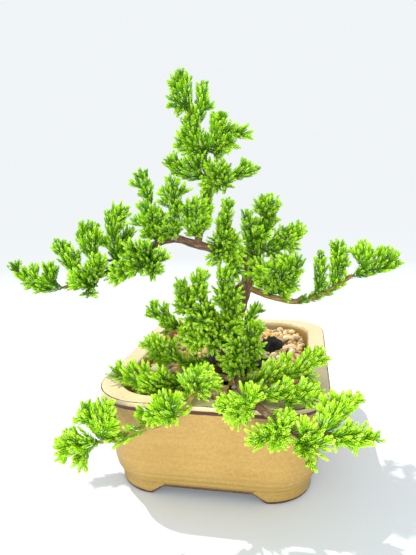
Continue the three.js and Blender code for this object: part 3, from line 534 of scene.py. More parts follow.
def glaze_material():
    """Tan glaze: olive low down, pale on the rim, partly a thinner glaze and partly painted light on its
    top, brown where it breaks over the edges, sandy with iron specks."""
    n = Nodes("tan_glaze", roughness=0.34)
    place = n.place()
    base = n.ramp(n.noise(place, 22.0, 3.0), GLAZE_TONES)
    share = n.maths("DIVIDE", n.parts(place)["Z"], POT_HEIGHT * MM)
    base = n.mix(n.ramp(share, [(0.0, 0.85), (0.14, 0.6), (0.34, 0.0)]), base, GLAZE_OLIVE)
    # pale on the rim's top: partly thinner glaze, partly painted light
    base = n.mix(n.fade(share, 0.94, 0.985), base, GLAZE_RIM_THIN_AND_LIT)
    base = n.mix(1.0, base, n.ramp(n.noise(place, 650.0, 4.0, 0.7), GLAZE_GRAIN), "MULTIPLY")
    streak = n.noise(n.stretched(place, (6.0, 6.0, 160.0)), 3.0, 4.0)
    base = n.mix(n.fade(streak, 0.45, 0.75, 0.2), base, GLAZE_STREAK)
    base = n.mix(n.fade(n.noise(place, 700.0, 2.0, 0.6), 0.70, 0.76, 0.7), base, GLAZE_SPECK)
    edge = n.add("ShaderNodeAttribute", attribute_name="edge").outputs["Fac"]
    wander = n.maths("SUBTRACT", n.noise(place, 160.0), 0.5)
    ragged = n.maths("ADD", edge, n.maths("MULTIPLY", wander, 0.5))
    n.colour(n.mix(n.fade(ragged, 0.40, 0.60), base, GLAZE_BREAK))
    n.put(n.ramp(n.noise(place, 60.0), [(0.3, 0.40), (0.7, 0.52)]), n.shader.inputs["Roughness"])
    n.shader.inputs["Specular IOR Level"].default_value = 0.35
    n.bump(n.noise(place, 45.0, 5.0), 0.0006, 0.3)
    return n.material


# Dark, middle and light tones of the three kinds of wood
BARK_TONES = {
    "bark": ((0.035, 0.016, 0.009), (0.15, 0.075, 0.035), (0.36, 0.23, 0.13)),
    "young_bark": ((0.10, 0.045, 0.015), (0.27, 0.17, 0.04), (0.42, 0.38, 0.08)),
    "dead_wood": ((0.22, 0.15, 0.10), (0.45, 0.34, 0.24), (0.66, 0.54, 0.42)),
}


def bark_material(name):
    """Fibrous bark: long streaks along the stem, with pale ridges and dark cracks."""
    dark, middle, light = BARK_TONES[name]
    n = Nodes(name, roughness=0.82)
    along = n.add("ShaderNodeUVMap", uv_map="stem").outputs["UV"]
    streak = n.noise(n.stretched(along, (1.0, 0.16, 1.0)), 1.1, 6.0, 0.65)
    base = n.ramp(streak, [(0.32, dark), (0.5, middle), (0.68, light)])
    n.colour(n.mix(n.fade(n.noise(n.place(), 120.0, 3.0), 0.5, 0.75, 0.6), base, dark))
    n.bump(streak, 0.0008, 0.8)
    return n.material


SOIL_TONES = [
    (0.35, (0.004, 0.0035, 0.003)), (0.6, (0.016, 0.012, 0.009)), (0.8, (0.05, 0.035, 0.022))]


def soil_material():
    """Damp, nearly black crumbs."""
    n = Nodes("dark_soil", roughness=0.95)
    place = n.place()
    n.colour(n.ramp(n.noise(place, 420.0, 5.0), SOIL_TONES))
    n.bump(n.noise(place, 600.0, 5.0), 0.0012, 1.0)
    return n.material


STONE_TONES = [
    (0.02, (0.30, 0.22, 0.15)), (0.18, (0.74, 0.50, 0.16)), (0.34, (0.86, 0.68, 0.36)),
    (0.50, (0.60, 0.34, 0.16)), (0.66, (0.90, 0.78, 0.52)), (0.82, (0.82, 0.44, 0.06)),
    (0.97, (0.98, 0.92, 0.76)),
]
STONE_SHADE = [(0.0, (0.45, 0.38, 0.32)), (0.6, 1.0)]


def map_parts(n):
    """The two coordinates of the map that the needles and stones carry."""
    return n.parts(n.add("ShaderNodeUVMap", uv_map="OFBake").outputs["UV"])


def stone_material():
    """Crushed stone: each has its own tone, across the map, and is darker near its foot, up the map."""
    n = Nodes("gravel", roughness=0.75)
    spot = map_parts(n)
    tone = n.ramp(spot["X"], STONE_TONES)
    n.colour(n.mix(1.0, tone, n.ramp(spot["Y"], STONE_SHADE), "MULTIPLY"))
    n.bump(n.noise(n.place(), 700.0, 4.0), 0.0004, 0.6)
    return n.material


# Along a needle map's width: stem colours, then needles from old and in painted shade to young and in
# painted light, then pale ones, which are partly the needles' whitish bands and partly painted highlights
STEM_TONE = 0.03
LEAST_TONE = 0.10
MOST_TONE = 0.93
BAND_AND_GLINT_TONE = 0.99
NEEDLE_TONES = [
    (0.00, (0.13, 0.10, 0.025)), (0.06, (0.16, 0.17, 0.03)), (0.10, (0.02, 0.09, 0.004)),
    (0.35, (0.10, 0.31, 0.006)), (0.60, (0.33, 0.68, 0.008)), (0.80, (0.50, 0.87, 0.012)),
    (0.94, (0.68, 0.93, 0.02)), (0.97, (0.54, 0.70, 0.36)),
]
# Tones at the needles' tips: brighter than at their feet, and paler towards the young end, partly as a
# painted highlight
NEEDLE_TIPS = [
    (0.00, (0.15, 0.10, 0.03)), (0.10, (0.04, 0.15, 0.01)), (0.35, (0.16, 0.40, 0.015)),
    (0.60, (0.40, 0.74, 0.03)), (0.80, (0.55, 0.84, 0.08)), (0.94, (0.72, 0.87, 0.18)),
    (0.97, (0.66, 0.78, 0.52)),
]


def foliage_material():
    """Needles: across the map the tone, up the map from the needle's foot to its brighter tip, whose
    paleness at the young end is partly a painted highlight.
    """
    n = Nodes("juniper_needles", roughness=0.6)
    spot = map_parts(n)
    foot, tip = n.ramp(spot["X"], NEEDLE_TONES), n.ramp(spot["X"], NEEDLE_TIPS)
    n.colour(n.mix(n.fade(spot["Y"], 0.15, 0.9), foot, tip))
    n.shader.inputs["Specular IOR Level"].default_value = 0.0
    return n.material


def plain_material(name, tones, roughness, scale):
    """A material whose colour wanders between two tones."""
    n = Nodes(name, roughness)
    n.colour(n.ramp(n.noise(n.place(), scale), list(zip((0.3, 0.7), tones))))
    return n.material


# ---------------- pot

ARC_POINTS = 20
SIDE_POINTS = 40
LEAST_CORNER = 4.0
CORNER_TAPER = 0.55  # how much of a ring's inset its corner radius loses
FLOOR_INSET = 45  # how far past the wall's line the ring lies that closes the floor
ARCH_EDGE = 1.5  # a point this near to the front or back line follows that side's arch

# Rings of the pot's surface, in order from underneath to inside. Each has a height, an inset and,
# where its glaze breaks brown, how much. Two lists go on with how much of the arch between the feet
# a ring follows, and one of them with a corner radius. Insets are from the rim's outer edge where a
# list says nothing else.
UNDER_PROFILE = [  # insets from the feet's inner line
    (FLOOR_BOTTOM, 1.5, 0.0, 0.0, 13), (FLOOR_BOTTOM - 0.3, 0.3, 0.0, 0.0, 13),
    (0.6, 0.0, 0.8, 0.85, 13), (0.0, -0.8, 0.9, 1.0, 14),
]
FOOT_PROFILE = [  # insets from the feet's outer line
    (0.0, 1.2, 0.95, 1.0), (0.4, 0.4, 0.95, 1.0), (1.2, 0.1, 0.8, 0.97), (2.2, 0.0, 0.35, 0.85),
    (3.2, 0.0, 0.0, 0.7),
]
WALL_PROFILE = [  # a straight band, a ledge with soft throwing lines above it, and the wall
    (6.6, 10.6), (7.9, 10.5), (8.5, 9.9), (9.1, 9.1), (9.8, 8.9), (10.5, 9.1), (11.4, 8.5),
    (12.6, 7.5), (13.7, 7.35), (14.4, 7.5), (15.2, 6.9), (16.6, 6.45), (17.6, 6.5), (18.4, 6.65),
    (19.4, 6.2), (22, 5.8), (25, 5.4), (28, 5.0), (31, 4.65), (34, 4.3), (38, 3.8), (42, 3.3),
    (46, 2.8), (50, 2.3), (53.5, 1.85),
]
LIP_PROFILE = [  # heights down from the top
    (6.2, 1.55, 0.1), (5.4, 1.5, 0.8), (4.8, 1.45, 1.0), (4.2, 0.9, 1.0), (3.6, 0.3, 1.0),
    (3.1, 0.05, 0.75), (2.6, 0.0, 0.0), (1.0, 0.0, 0.0), (0.55, 0.1, 0.25), (0.15, 0.45, 0.7),
    (0.0, 1.1, 0.35), (0.0, 1.8, 0.0),
]
RIM_DISH = 0.25  # how deep the rim's flat top sags
RIM_DISH_SHARES = (0.35, 0.7)
# Heights down from the top, and insets back from the rim's inner line
INNER_EDGE_PROFILE = [(0.0, 1.6, 0.0), (0.1, 0.8, 0.25), (0.6, 0.2, 0.5), (1.4, 0.0, 0.1)]
THROAT = 1.2  # how far past the rim's inner line the wall is at the height of the gravel
CAVITY_PROFILE = [  # insets from the rim's inner line
    (SOIL_TOP + 2, THROAT), (FLOOR_TOP + 1, CAVITY_TAPER - 0.6), (FLOOR_TOP, CAVITY_TAPER + 1),
    (FLOOR_TOP, FLOOR_INSET),
]


def outline(half_x, half_y, radius):
    """Points round a rounded rectangle, the same number whatever its size."""
    arcs = []
    for start, (sx, sy) in zip((0, 90, 180, 270), ((1, 1), (-1, 1), (-1, -1), (1, -1))):
        centre = np.array([sx * (half_x - radius), sy * (half_y - radius)])
        angles = np.radians(start + np.linspace(0, 90, ARC_POINTS))
        arcs.append(centre + radius * np.stack([np.cos(angles), np.sin(angles)], axis=1))
    t = np.linspace(0, 1, SIDE_POINTS + 1, endpoint=False)[1:, None]
    sides = [arc[-1] * (1 - t) + after[0] * t for arc, after in zip(arcs, arcs[1:] + arcs[:1])]
    return np.concatenate([part for pair in zip(arcs, sides) for part in pair])


def arch_height(points, inset):
    """How high the wall's lower edge is: the feet at the corners, low arches between them."""
    base_x = POT_WIDTH / 2 - BASE_INSET
    base_y = POT_DEPTH / 2 - BASE_INSET * DEPTH_TAPER
    x, y = np.abs(points[:, 0]), np.abs(points[:, 1])
    along_x = (base_x - FOOT_LENGTH - x) / FOOT_SLOPE
    along_y = (base_y - FOOT_LENGTH - y) / FOOT_SLOPE
    t = np.clip(np.where(y > base_y - inset - ARCH_EDGE, along_x, along_y), 0, 1)
    return FLOOR_BOTTOM * t * t * (3 - 2 * t)


def pot_rings():
    """Rings of points from the floor's middle underneath, up the wall, over the rim and inside."""
    rings, edges = [], []

    def ring(z, inset, edge=0.0, arched=0.0, corner=None):
        past_base = max(0.0, inset - BASE_INSET)
        taper_y = inset * DEPTH_TAPER
        if inset > BASE_INSET:
            taper_y = inset - BASE_INSET * (1 - DEPTH_TAPER)
        radius = corner or max(LEAST_CORNER, POT_CORNER - CORNER_TAPER * inset)
        flat = outline(POT_WIDTH / 2 - inset, POT_DEPTH / 2 - taper_y, radius)
        height = float(z) + arch_height(flat, past_base) * arched
        rings.append(np.column_stack([flat, height]))
        edges.append(np.full(len(flat), edge))

    ring(FLOOR_BOTTOM, BASE_INSET + FLOOR_INSET)
    for z, inset, edge, arched, corner in UNDER_PROFILE:
        ring(z, BASE_INSET + FOOT_WIDTH + inset, edge, arched, corner)
    for z, inset, edge, arched in FOOT_PROFILE:
        ring(z, BASE_INSET + inset, edge, arched)
    for z, inset in WALL_PROFILE:
        ring(z, inset)
    for below, inset, edge in LIP_PROFILE:
        ring(POT_HEIGHT - below, inset, edge)
    for share in RIM_DISH_SHARES:
        ring(POT_HEIGHT - RIM_DISH * math.sin(math.pi * share), RIM_WIDTH * share)
    for below, back, edge in INNER_EDGE_PROFILE:
        ring(POT_HEIGHT - below, RIM_WIDTH - back, edge)
    for z, inset in CAVITY_PROFILE:
        ring(z, RIM_WIDTH + inset)
    return rings, edges


DRAIN_SIDES = 40
CUTTER_LENGTH = 30
WOBBLE = 0.16
WOBBLE_SCALE = 70.0
WOBBLE_FROM = 14  # the height from which the wall wanders a little, up to just below the top
POT_SEED = 3


def cut_drain(pot, y):
    """A round hole through the pot's floor."""
    bpy.ops.mesh.primitive_cylinder_add(
        vertices=DRAIN_SIDES, radius=DRAIN_RADIUS * MM, depth=CUTTER_LENGTH * MM,
        location=placed([0, y, FLOOR_TOP]))
    cutter = bpy.context.object
    modifier = pot.modifiers.new("drain", "BOOLEAN")
    modifier.operation = "DIFFERENCE"
    modifier.object = cutter
    bpy.context.view_layer.objects.active = pot
    bpy.ops.object.modifier_apply(modifier=modifier.name)
    bpy.data.objects.remove(cutter)


def make_pot(material):
    """The pot, whose upper wall wanders in by up to twice the wobble, and its two drain holes."""
    rings, edges = pot_rings()
    points = np.concatenate(rings)
    wobble = WOBBLE * smooth_noise(points, WOBBLE_SCALE, POT_SEED)
    outward = unit(np.column_stack([points[:, :2], np.zeros(len(points))]))
    high = (points[:, 2] > WOBBLE_FROM) & (points[:, 2] < POT_HEIGHT - 1)
    points = points + outward * (wobble * high)[:, None] - outward * (WOBBLE * high)[:, None]
    pot = make_object("glazed_pot", points, closed_faces(len(rings), len(rings[0])), material)
    set_values(pot, "edge", np.concatenate(edges))
    for y in (-DRAIN_OFFSET, DRAIN_OFFSET):
        cut_drain(pot, y)
    finish_piece(pot, "glaze", "pot")


# ---------------- soil and gravel

SOIL_MOUNDS = [(3, 2, 30, 8), (30, 38, 11, 13)]  # middle, radius and rise of each
MOUND_SINK = 1
SOIL_ROWS = 90
SOIL_INNERMOST = 0.012
SOIL_FOOT = 3.2  # how far above the pot's floor the soil ends, over the drain meshes
SOIL_GRAINS = [(0.55, 5.0, 8), (0.45, 2.2, 9)]  # height, scale and seed of the crumbs
CRUMBLE = 2.0  # how much rougher the soil is where it stands out of the gravel
CRUMBLE_RISE = 4
CAVITY_LONGER = 1.2  # the hollow is this much longer each way than its taper would make it


def soil_height(x, y):
    """The soil's surface: flat, with the mound round the trunk and the lump behind it."""
    height = np.full(len(x), SOIL_TOP)
    for mound_x, mound_y, radius, rise in SOIL_MOUNDS:
        away = ((x - mound_x) ** 2 + (y - mound_y) ** 2) / radius ** 2
        cap = SOIL_TOP - MOUND_SINK + rise * np.sqrt(np.clip(1 - away, 0, 1))
        height = np.maximum(height, cap)
    return height


def cavity_outline(z, gap):
    """The pot's inner wall at a height, less a gap."""
    inset = RIM_WIDTH + CAVITY_TAPER * (POT_HEIGHT - z) / (POT_HEIGHT - FLOOR_TOP) + gap
    return outline(POT_WIDTH / 2 - inset, POT_DEPTH / 2 - inset + CAVITY_LONGER, POT_CORNER - RIM_WIDTH)


def make_soil(material):
    """The soil, from rings that run out from the middle to the wall and down to the floor."""
    edge = cavity_outline(SOIL_TOP, WALL_GAP)
    rings = []
    for share in np.linspace(SOIL_INNERMOST, 1, SOIL_ROWS):
        flat = edge * share
        points = np.column_stack([flat, soil_height(flat[:, 0], flat[:, 1])])
        grain = sum(height * smooth_noise(points, scale, seed) for height, scale, seed in SOIL_GRAINS)
        raised = np.clip((points[:, 2] - GRAVEL_TOP) / CRUMBLE_RISE, 0, 1)
        points[:, 2] += grain * (1 + CRUMBLE * raised) * (share < 1)
        rings.append(points)
    bottom = cavity_outline(FLOOR_TOP, WALL_GAP)
    rings.append(np.column_stack([bottom, np.full(len(bottom), FLOOR_TOP + SOIL_FOOT)]))
    faces = [tuple(reversed(face)) for face in closed_faces(len(rings), len(edge))]
    soil = make_object("soil_bed", np.concatenate(rings), faces, material)
    finish_piece(soil, "soil", "soil")


STONE_DETAIL = 2
STONE_BUMPS = 0.05
STONE_CUTS = 7
STONE_CUT_DEPTHS = (0.55, 0.85)
STONE_STRETCH = [(0.9, 1.25), (0.75, 1.0), (0.6, 0.85)]
STONE_TILT = 0.5
STONE_MAP_WIDTH = 0.008
STONE_TONE_RANGE = (0.02, 0.98)
STONE_SEED = 21


def ball_template(subdivisions):
    """Points and triangles of a round ball of radius 1."""
    mesh = bpy.data.meshes.new("ball")
    shape = bmesh.new()
    bmesh.ops.create_icosphere(shape, subdivisions=subdivisions, radius=1.0)
    shape.to_mesh(mesh)
    shape.free()
    points = np.array([v.co for v in mesh.vertices])
    faces = np.array([p.vertices[:] for p in mesh.polygons])
    bpy.data.meshes.remove(mesh)
    return points, faces


def chipped_stone(ball, size, random):
    """A crushed stone: a ball cut by a few random planes, stretched and turned."""
    points = ball * (1 + STONE_BUMPS * random.normal(size=(len(ball), 1)))
    for _ in range(STONE_CUTS):
        normal = unit(random.normal(size=3))
        over = points @ normal - random.uniform(*STONE_CUT_DEPTHS)
        points = points - np.outer(np.clip(over, 0, None), normal)
    points = points * [random.uniform(*limits) for limits in STONE_STRETCH]
    turn = Matrix.Rotation(random.uniform(0, 2 * math.pi), 3, "Z")
    for axis in ("X", "Y"):
        turn = turn @ Matrix.Rotation(random.uniform(-STONE_TILT, STONE_TILT), 3, axis)
    return points @ np.array(turn).T * (size / 2)


def stones_mesh(name, spots, material):
    """One mesh of many stones. A spot is a place, a size and a tone."""
    ball, triangles = ball_template(STONE_DETAIL)
    random = np.random.default_rng(STONE_SEED)
    points, faces, uvs = [], [], []
    for i, (centre, size, tone) in enumerate(spots):
        stone = chipped_stone(ball, size, random)
        height = (stone[:, 2] - stone[:, 2].min()) / max(np.ptp(stone[:, 2]), 1e-6)
        across = STONE_MAP_WIDTH * (stone[:, 0] / size)
        points.append(stone + centre)
        faces.append(triangles + i * len(ball))
        uvs.append(np.column_stack([np.clip(tone + across, 0, 1), np.clip(height, MAP_EDGE, 1 - MAP_EDGE)]))
    corners = np.concatenate(faces)
    uv = np.concatenate(uvs)[corners.ravel()]
    sizes = np.full(len(corners), 3)
    return mesh_object(name, np.concatenate(points), corners.ravel(), sizes, material, uv=uv)


# Layers of gravel: height above the mean top, and how far forward each one reaches
GRAVEL_LAYERS = [(-1.6, -90), (0.6, -90), (2.4, 30), (4.0, 46)]
GRAVEL_STEP = 4.7
GRAVEL_REACH_X = 56
GRAVEL_REACH_Y = 79
GRAVEL_SHIFT = 2.0
GRAVEL_RISE = 0.6
GRAVEL_SIZES = [3.6, 4.8, 6.0, 7.2]
GRAVEL_SHARES = [0.25, 0.35, 0.25, 0.15]
BARE_RISE = 2.5  # how ragged the edge of the gravel round bare soil is
SPARSE_CHANCE = 0.35  # of a place in an upper layer to be left empty
WALL_ROOM = 3.0
GRAVEL_SEED = 4


def gravel_spots():
    """Layers of small stones on a jittered grid, left out where bare soil stands through."""
    random = np.random.default_rng(GRAVEL_SEED)
    spots = []
    for layer, (rise, front) in enumerate(GRAVEL_LAYERS):
        for x in np.arange(-GRAVEL_REACH_X, GRAVEL_REACH_X + 1, GRAVEL_STEP):
            for y in np.arange(-GRAVEL_REACH_Y, GRAVEL_REACH_Y + 1, GRAVEL_STEP):
                shift = random.uniform(-GRAVEL_SHIFT, GRAVEL_SHIFT, 2)
                spot = np.array([x, y]) + shift + layer * GRAVEL_STEP / 2
                if spot[1] < front or not inside_cavity(spot, WALL_ROOM):
                    continue
                bare = GRAVEL_TOP - 1 + random.uniform(0, BARE_RISE)
                if soil_height(spot[:1], spot[1:])[0] > bare:
                    continue
                if layer and random.uniform() < SPARSE_CHANCE:
                    continue
                size = random.choice(GRAVEL_SIZES, p=GRAVEL_SHARES)
                z = GRAVEL_TOP + rise + random.uniform(-GRAVEL_RISE, GRAVEL_RISE)
                spots.append((np.array([*spot, z]), size, random.uniform(*STONE_TONE_RANGE)))
    return spots


def inside_cavity(spot, margin):
    """Whether a place is that far or more inside the wall where the gravel lies."""
    inset = RIM_WIDTH + THROAT + margin
    half = np.array([POT_WIDTH / 2 - inset, POT_DEPTH / 2 - inset])
    radius = POT_CORNER - RIM_WIDTH
    beyond = np.abs(spot) - (half - radius)
    if (beyond > 0).all():
        return np.hypot(*beyond) < radius
    return bool((np.abs(spot) < half).all())


def make_gravel(material):
    """Many loose stones, joined in one piece."""
    gravel = stones_mesh("gravel_stones", gravel_spots(), material)
    finish_piece(gravel, "gravel", "gravel_layer")


# ---------------- wood

RIDGES = [(5, 1.0, 0.11), (9, 0.7, -0.19), (14, 0.5, 0.31)]  # number round, height and twist
SWELLS = [(0.6, 0.35), (0.4, 0.83)]  # height, and how fast it comes and goes along the stem
RIDGE_RELIEF = 0.45
SWELL_RELIEF = 0.8
PHASES = len(RIDGES) + len(SWELLS)
END_SHARES = (0.75, 0.4, 0.12)
END_LENGTH = 0.8
# Sides, relief and seed of each look
STEM_LOOKS = {
    "trunk": (40, 0.10, 2), "knob": (32, 0.05, 3), "root": (20, 0.10, 5), "branch": (24, 0.10, 20)}


def stem_surface(points, radii, sides, relief, seed):
    """Rings of points round a stem whose bark has long ridges and small swellings."""
    side_a, side_b = ring_axes(tangents_of(points))
    reach = distances_along(points)
    radius = spread_radii(radii, len(points))
    angles = circle_angles(sides)
    phases = np.random.default_rng(seed).uniform(0, 2 * np.pi, PHASES)
    surface, coords = [], []
    for i, centre in enumerate(points):
        s = reach[i]
        ridge = sum(height * np.sin(number * angles + phase + twist * s)
                    for (number, height, twist), phase in zip(RIDGES, phases))
        swell = sum(height * math.sin(speed * s + phase)
                    for (height, speed), phase in zip(SWELLS, phases[len(RIDGES):]))
        r = radius[i] * (1 + relief * (RIDGE_RELIEF * ridge + SWELL_RELIEF * swell))
        across = np.outer(np.cos(angles) * r, side_a[i])
        surface.append(centre + across + np.outer(np.sin(angles) * r, side_b[i]))
        coords.append(np.column_stack([angles * radius[i], np.full(sides, s)]))
    return surface, coords


def stem_mesh(name, points, radii, material, look, number=0, tip=1.0):
    """A closed stem with a rounded end, and a map of its bark in millimetres. The end stands out by
    about tip times the last radius, or is hollow where tip is negative."""
    sides, relief, seed = STEM_LOOKS[look]
    surface, coords = stem_surface(points, radii, sides, relief, seed + number)
    end_direction = tangents_of(points)[-1]
    centre, last = points[-1], surface[-1]
    for share in END_SHARES:
        out = end_direction * radii[-1] * tip * (1 - share) * END_LENGTH
        surface.append(centre + (last - centre) * share + out)
        coords.append(coords[-1] + [0, 0.5])
    stem = make_object(name, np.concatenate(surface), closed_faces(len(surface), sides), material)
    layer = stem.data.uv_layers.new(name="stem")
    flat = np.concatenate(coords)
    loops = np.zeros(len(stem.data.loops), np.int32)
    stem.data.loops.foreach_get("vertex_index", loops)
    layer.data.foreach_set("uv", flat[loops].astype(np.float32).ravel())
    return stem


def join_objects(name, objects):
    """One object of several, under a new name."""
    with bpy.context.temp_override(active_object=objects[0], selected_editable_objects=objects):
        bpy.ops.object.join()
    objects[0].name = name
    return objects[0]


TRUNK_POINTS = 120
KNOB_ROUTE = [[14, 3, 111], [11, -4, 109], [9, -10, 106]]
KNOB_RADII = [4.2, 4.4, 4.5, 4.2]
KNOB_POINTS = 16
KNOB_HOLLOW = -0.25
ROOT_COUNT = 5
ROOT_TURN = 0.35
ROOT_PROFILE = ((2, 57), (11, 51), (22, 43))  # how far out and how high a root is, from its foot on
ROOT_RADII = [4.2, 3, 1.6]
ROOT_POINTS = 30
ROUTE_POINTS = 40  # along a stem's route, to measure its length
BARK_STEP = 0.9  # between the rings of a stem


def trunk_parts(material):
    """The trunk with its flared roots and the old cut knob."""
    route, radii = STEMS["trunk"]
    trunk = route_curve(route, TRUNK_POINTS)
    knob = route_curve(KNOB_ROUTE, KNOB_POINTS)
    parts = [
        stem_mesh("trunk_wood", trunk, radii, material, "trunk"),
        stem_mesh("knob", knob, KNOB_RADII, material, "knob", tip=KNOB_HOLLOW)]
    for i in range(ROOT_COUNT):
        angle = 2 * math.pi * (i + ROOT_TURN) / ROOT_COUNT
        across = np.array([math.cos(angle), math.sin(angle)])
        root = route_curve([[*(across * reach + [0, 1]), z] for reach, z in ROOT_PROFILE], ROOT_POINTS)
        parts.append(stem_mesh("root", root, ROOT_RADII, material, "root", i))
    return parts


# The kind of wood of each stem but the trunk
STEM_KINDS = {
    "left_limb": "bark", "leader": "bark", "right_stem": "bark", "front_right_branch": "bark",
    "upper_left_branch": "young_bark", "right_branch": "young_bark",
    "front_left_branch": "young_bark", "dead_stub": "dead_wood",
}


def make_wood():
    """The trunk and every other stem, each a piece of its own."""
    looks = {kind: bark_material(kind) for kind in BARK_TONES}
    finish_piece(join_objects("trunk_bark", trunk_parts(looks["bark"])), "bark", "trunk")
    for i, (name, kind) in enumerate(STEM_KINDS.items()):
        route, radii = STEMS[name]
        count = int(length_of(route_curve(route, ROUTE_POINTS)) / BARK_STEP)
        points = route_curve(route, count)
        stem = stem_mesh(name + "_bark", points, radii, looks[kind], "branch", i)
        finish_piece(stem, kind, name)


# ---------------- foliage

# A needle is a three-sided spike: two rings of three points and its tip. Each ring has a share of
# the needle's length, its width and how far it bulges. Each of its points is so far across and down.
NEEDLE_RINGS = ((0.0, 0.55, 0.0), (0.5, 1.0, 0.05))
NEEDLE_CORNERS = ((-0.5, 0.0), (0.5, 0.0), (0.0, 0.42))
NEEDLE_DROOP = 0.02
NEEDLE_QUADS = np.array([[0, 1, 4, 3], [1, 2, 5, 4], [2, 0, 3, 5]])
NEEDLE_TRIANGLES = np.array([[3, 4, 6], [4, 5, 6], [5, 3, 6], [0, 2, 1]])
NEEDLE_MAP_WIDTH = 0.006


class Needles:
    """Collects needles and green stems, and makes one mesh of them."""

    def __init__(self):
        self.whorls, self.tubes = [], []

    def add(self, feet, ways, flats, lengths, widths, tones):
        """Needles by where they start, where they point, their flat side, size and tone."""
        self.whorls.append((feet, ways, flats, lengths[:, None], widths[:, None], tones[:, None]))

    def add_tube(self, points, radii, count, sides):
        """A green stem along a curve."""
        points = resampled(points, count)
        side_a, side_b = ring_axes(tangents_of(points))
        radius = spread_radii(radii, count)
        angles = circle_angles(sides)
        rings = []
        for i, centre in enumerate(points):
            round_it = np.outer(np.cos(angles), side_a[i]) + np.outer(np.sin(angles), side_b[i])
            rings.append(centre + radius[i] * round_it)
        faces = closed_faces(len(rings), sides)
        sizes = np.array([len(face) for face in faces])
        self.tubes.append((np.concatenate(rings), np.concatenate(faces), sizes))

    def needle_parts(self):
        """The points, corners, face sizes and map of all needles."""
        feet, ways, flats, lengths, widths, tones = map(np.concatenate, zip(*self.whorls))
        keel = np.cross(ways, flats)
        points, uvs = [], []
        for share, wide, lift in NEEDLE_RINGS:
            centre = feet + ways * lengths * share + keel * lengths * lift
            for across, down in NEEDLE_CORNERS:
                points.append(centre + flats * widths * wide * across + keel * widths * wide * down)
                up = np.full(len(tones), share + MAP_EDGE)
                uvs.append(np.column_stack([tones + NEEDLE_MAP_WIDTH * across, up]))
        points.append(feet + ways * lengths - keel * lengths * NEEDLE_DROOP)
        uvs.append(np.column_stack([tones, np.full(len(tones), 1 - MAP_EDGE)]))
        corners = np.concatenate([NEEDLE_QUADS.ravel(), NEEDLE_TRIANGLES.ravel()])
        loops = (corners + len(points) * np.arange(len(feet))[:, None]).ravel()
        sizes = np.tile([4] * len(NEEDLE_QUADS) + [3] * len(NEEDLE_TRIANGLES), len(feet))
        return (np.stack(points, axis=1).reshape(-1, 3), loops, sizes,
                np.stack(uvs, axis=1).reshape(-1, 2)[loops])

    def mesh(self, name, material):
        """One object of all needles and stems."""
        points, loops, sizes, uv = self.needle_parts()
        for tube_points, tube_loops, tube_sizes in self.tubes:
            loops = np.concatenate([loops, tube_loops + len(points)])
            points = np.concatenate([points, tube_points])
            sizes = np.concatenate([sizes, tube_sizes])
            uv = np.concatenate([uv, tube_map(tube_loops)])
        uv[:, 0] = np.clip(uv[:, 0], MAP_MARGIN, 1 - MAP_MARGIN)
        return mesh_object(name, points, loops, sizes, material, uv=uv)


def tube_map(loops):
    """Places among the map's stem colours, spread out so that no face covers a single point."""
    return np.column_stack([STEM_TONE + 0.01 * np.sin(loops), 0.5 + 0.3 * np.sin(1.7 * loops)])


WHORL_NEEDLES = 3
WHORL_TURN = 0.25  # how much the needles of a whorl stray round the twig
LEAN_STRAY = 4.5  # and in their lean, in degrees
NEEDLE_SWELL = ([0, 0.3, 0.7, 1], [0.85, 1.0, 0.8, 0.42])  # their length along the twig
LENGTH_RANGE = (0.85, 1.12)
WIDTH_RANGE = (0.85, 1.1)
TONE_STRAY = 0.05
# Pale needles are partly the needles' whitish bands and partly painted highlights
BAND_AND_GLINT_BETWEEN = [0.2, 0.6]
BAND_AND_GLINT_CHANCES = (0.10, 0.03)  # of a needle to be pale, at those two tones
NEEDLE_OUT = 0.35
NEEDLE_BACK = 0.3


def clothe(needles, points, random, spread, size, tone, step=WHORL_STEP):
    """Sets whorls of three needles along a curve. spread and tone run from its foot to its end."""
    count = max(2, int(length_of(points) / step))
    spine = resampled(points, count + 1)
    tangents = tangents_of(spine)
    side_a, side_b = ring_axes(tangents)
    whorl = np.repeat(np.arange(count + 1), WHORL_NEEDLES)
    turn = np.tile(np.arange(WHORL_NEEDLES), count + 1) * 2 * np.pi / WHORL_NEEDLES
    turn = turn + (whorl % 2) * np.pi / WHORL_NEEDLES + random.normal(0, WHORL_TURN, len(turn))
    share = whorl / count
    out = side_a[whorl] * np.cos(turn)[:, None] + side_b[whorl] * np.sin(turn)[:, None]
    lean = np.interp(share, [0, 1], spread) + random.normal(0, LEAN_STRAY, len(turn))
    lean = np.radians(lean)[:, None]
    ways = unit(tangents[whorl] * np.cos(lean) + out * np.sin(lean))
    flats = unit(np.cross(out, tangents[whorl]))
    swell = np.interp(share, *NEEDLE_SWELL)
    lengths = size * NEEDLE_LENGTH * swell * random.uniform(*LENGTH_RANGE, len(turn))
    widths = NEEDLE_WIDTH * size ** 0.5 * random.uniform(*WIDTH_RANGE, len(turn))
    tones = np.interp(share, [0, 1], tone) + random.normal(0, TONE_STRAY, len(turn))
    tones = np.clip(tones, LEAST_TONE, MOST_TONE)
    # pale needles: partly whitish bands, partly painted highlights
    band_and_glint = random.uniform(size=len(turn)) < np.interp(tones, BAND_AND_GLINT_BETWEEN, BAND_AND_GLINT_CHANCES)
    tones = np.where(band_and_glint, BAND_AND_GLINT_TONE, tones)
    feet = spine[whorl] + out * NEEDLE_OUT - tangents[whorl] * NEEDLE_BACK
    needles.add(feet, ways, flats, lengths, widths, tones)


# How far the needles lean from the twig, in degrees from its foot to its end
FINGER_LEAN = (30, 4)
OLD_LEAN = (58, 48)
OLD_STEP = 1.5  # between the whorls of old needles on the twig itself
OLD_SIZE = 0.85
# The needles along twigs and stems are dark, partly for their age and partly as painted shade inside the
# spray
OLD_AND_SHADED_TONES = np.array([0.14, 0.40])
BARK_NEEDLE_TONES = np.array([0.16, 0.36])
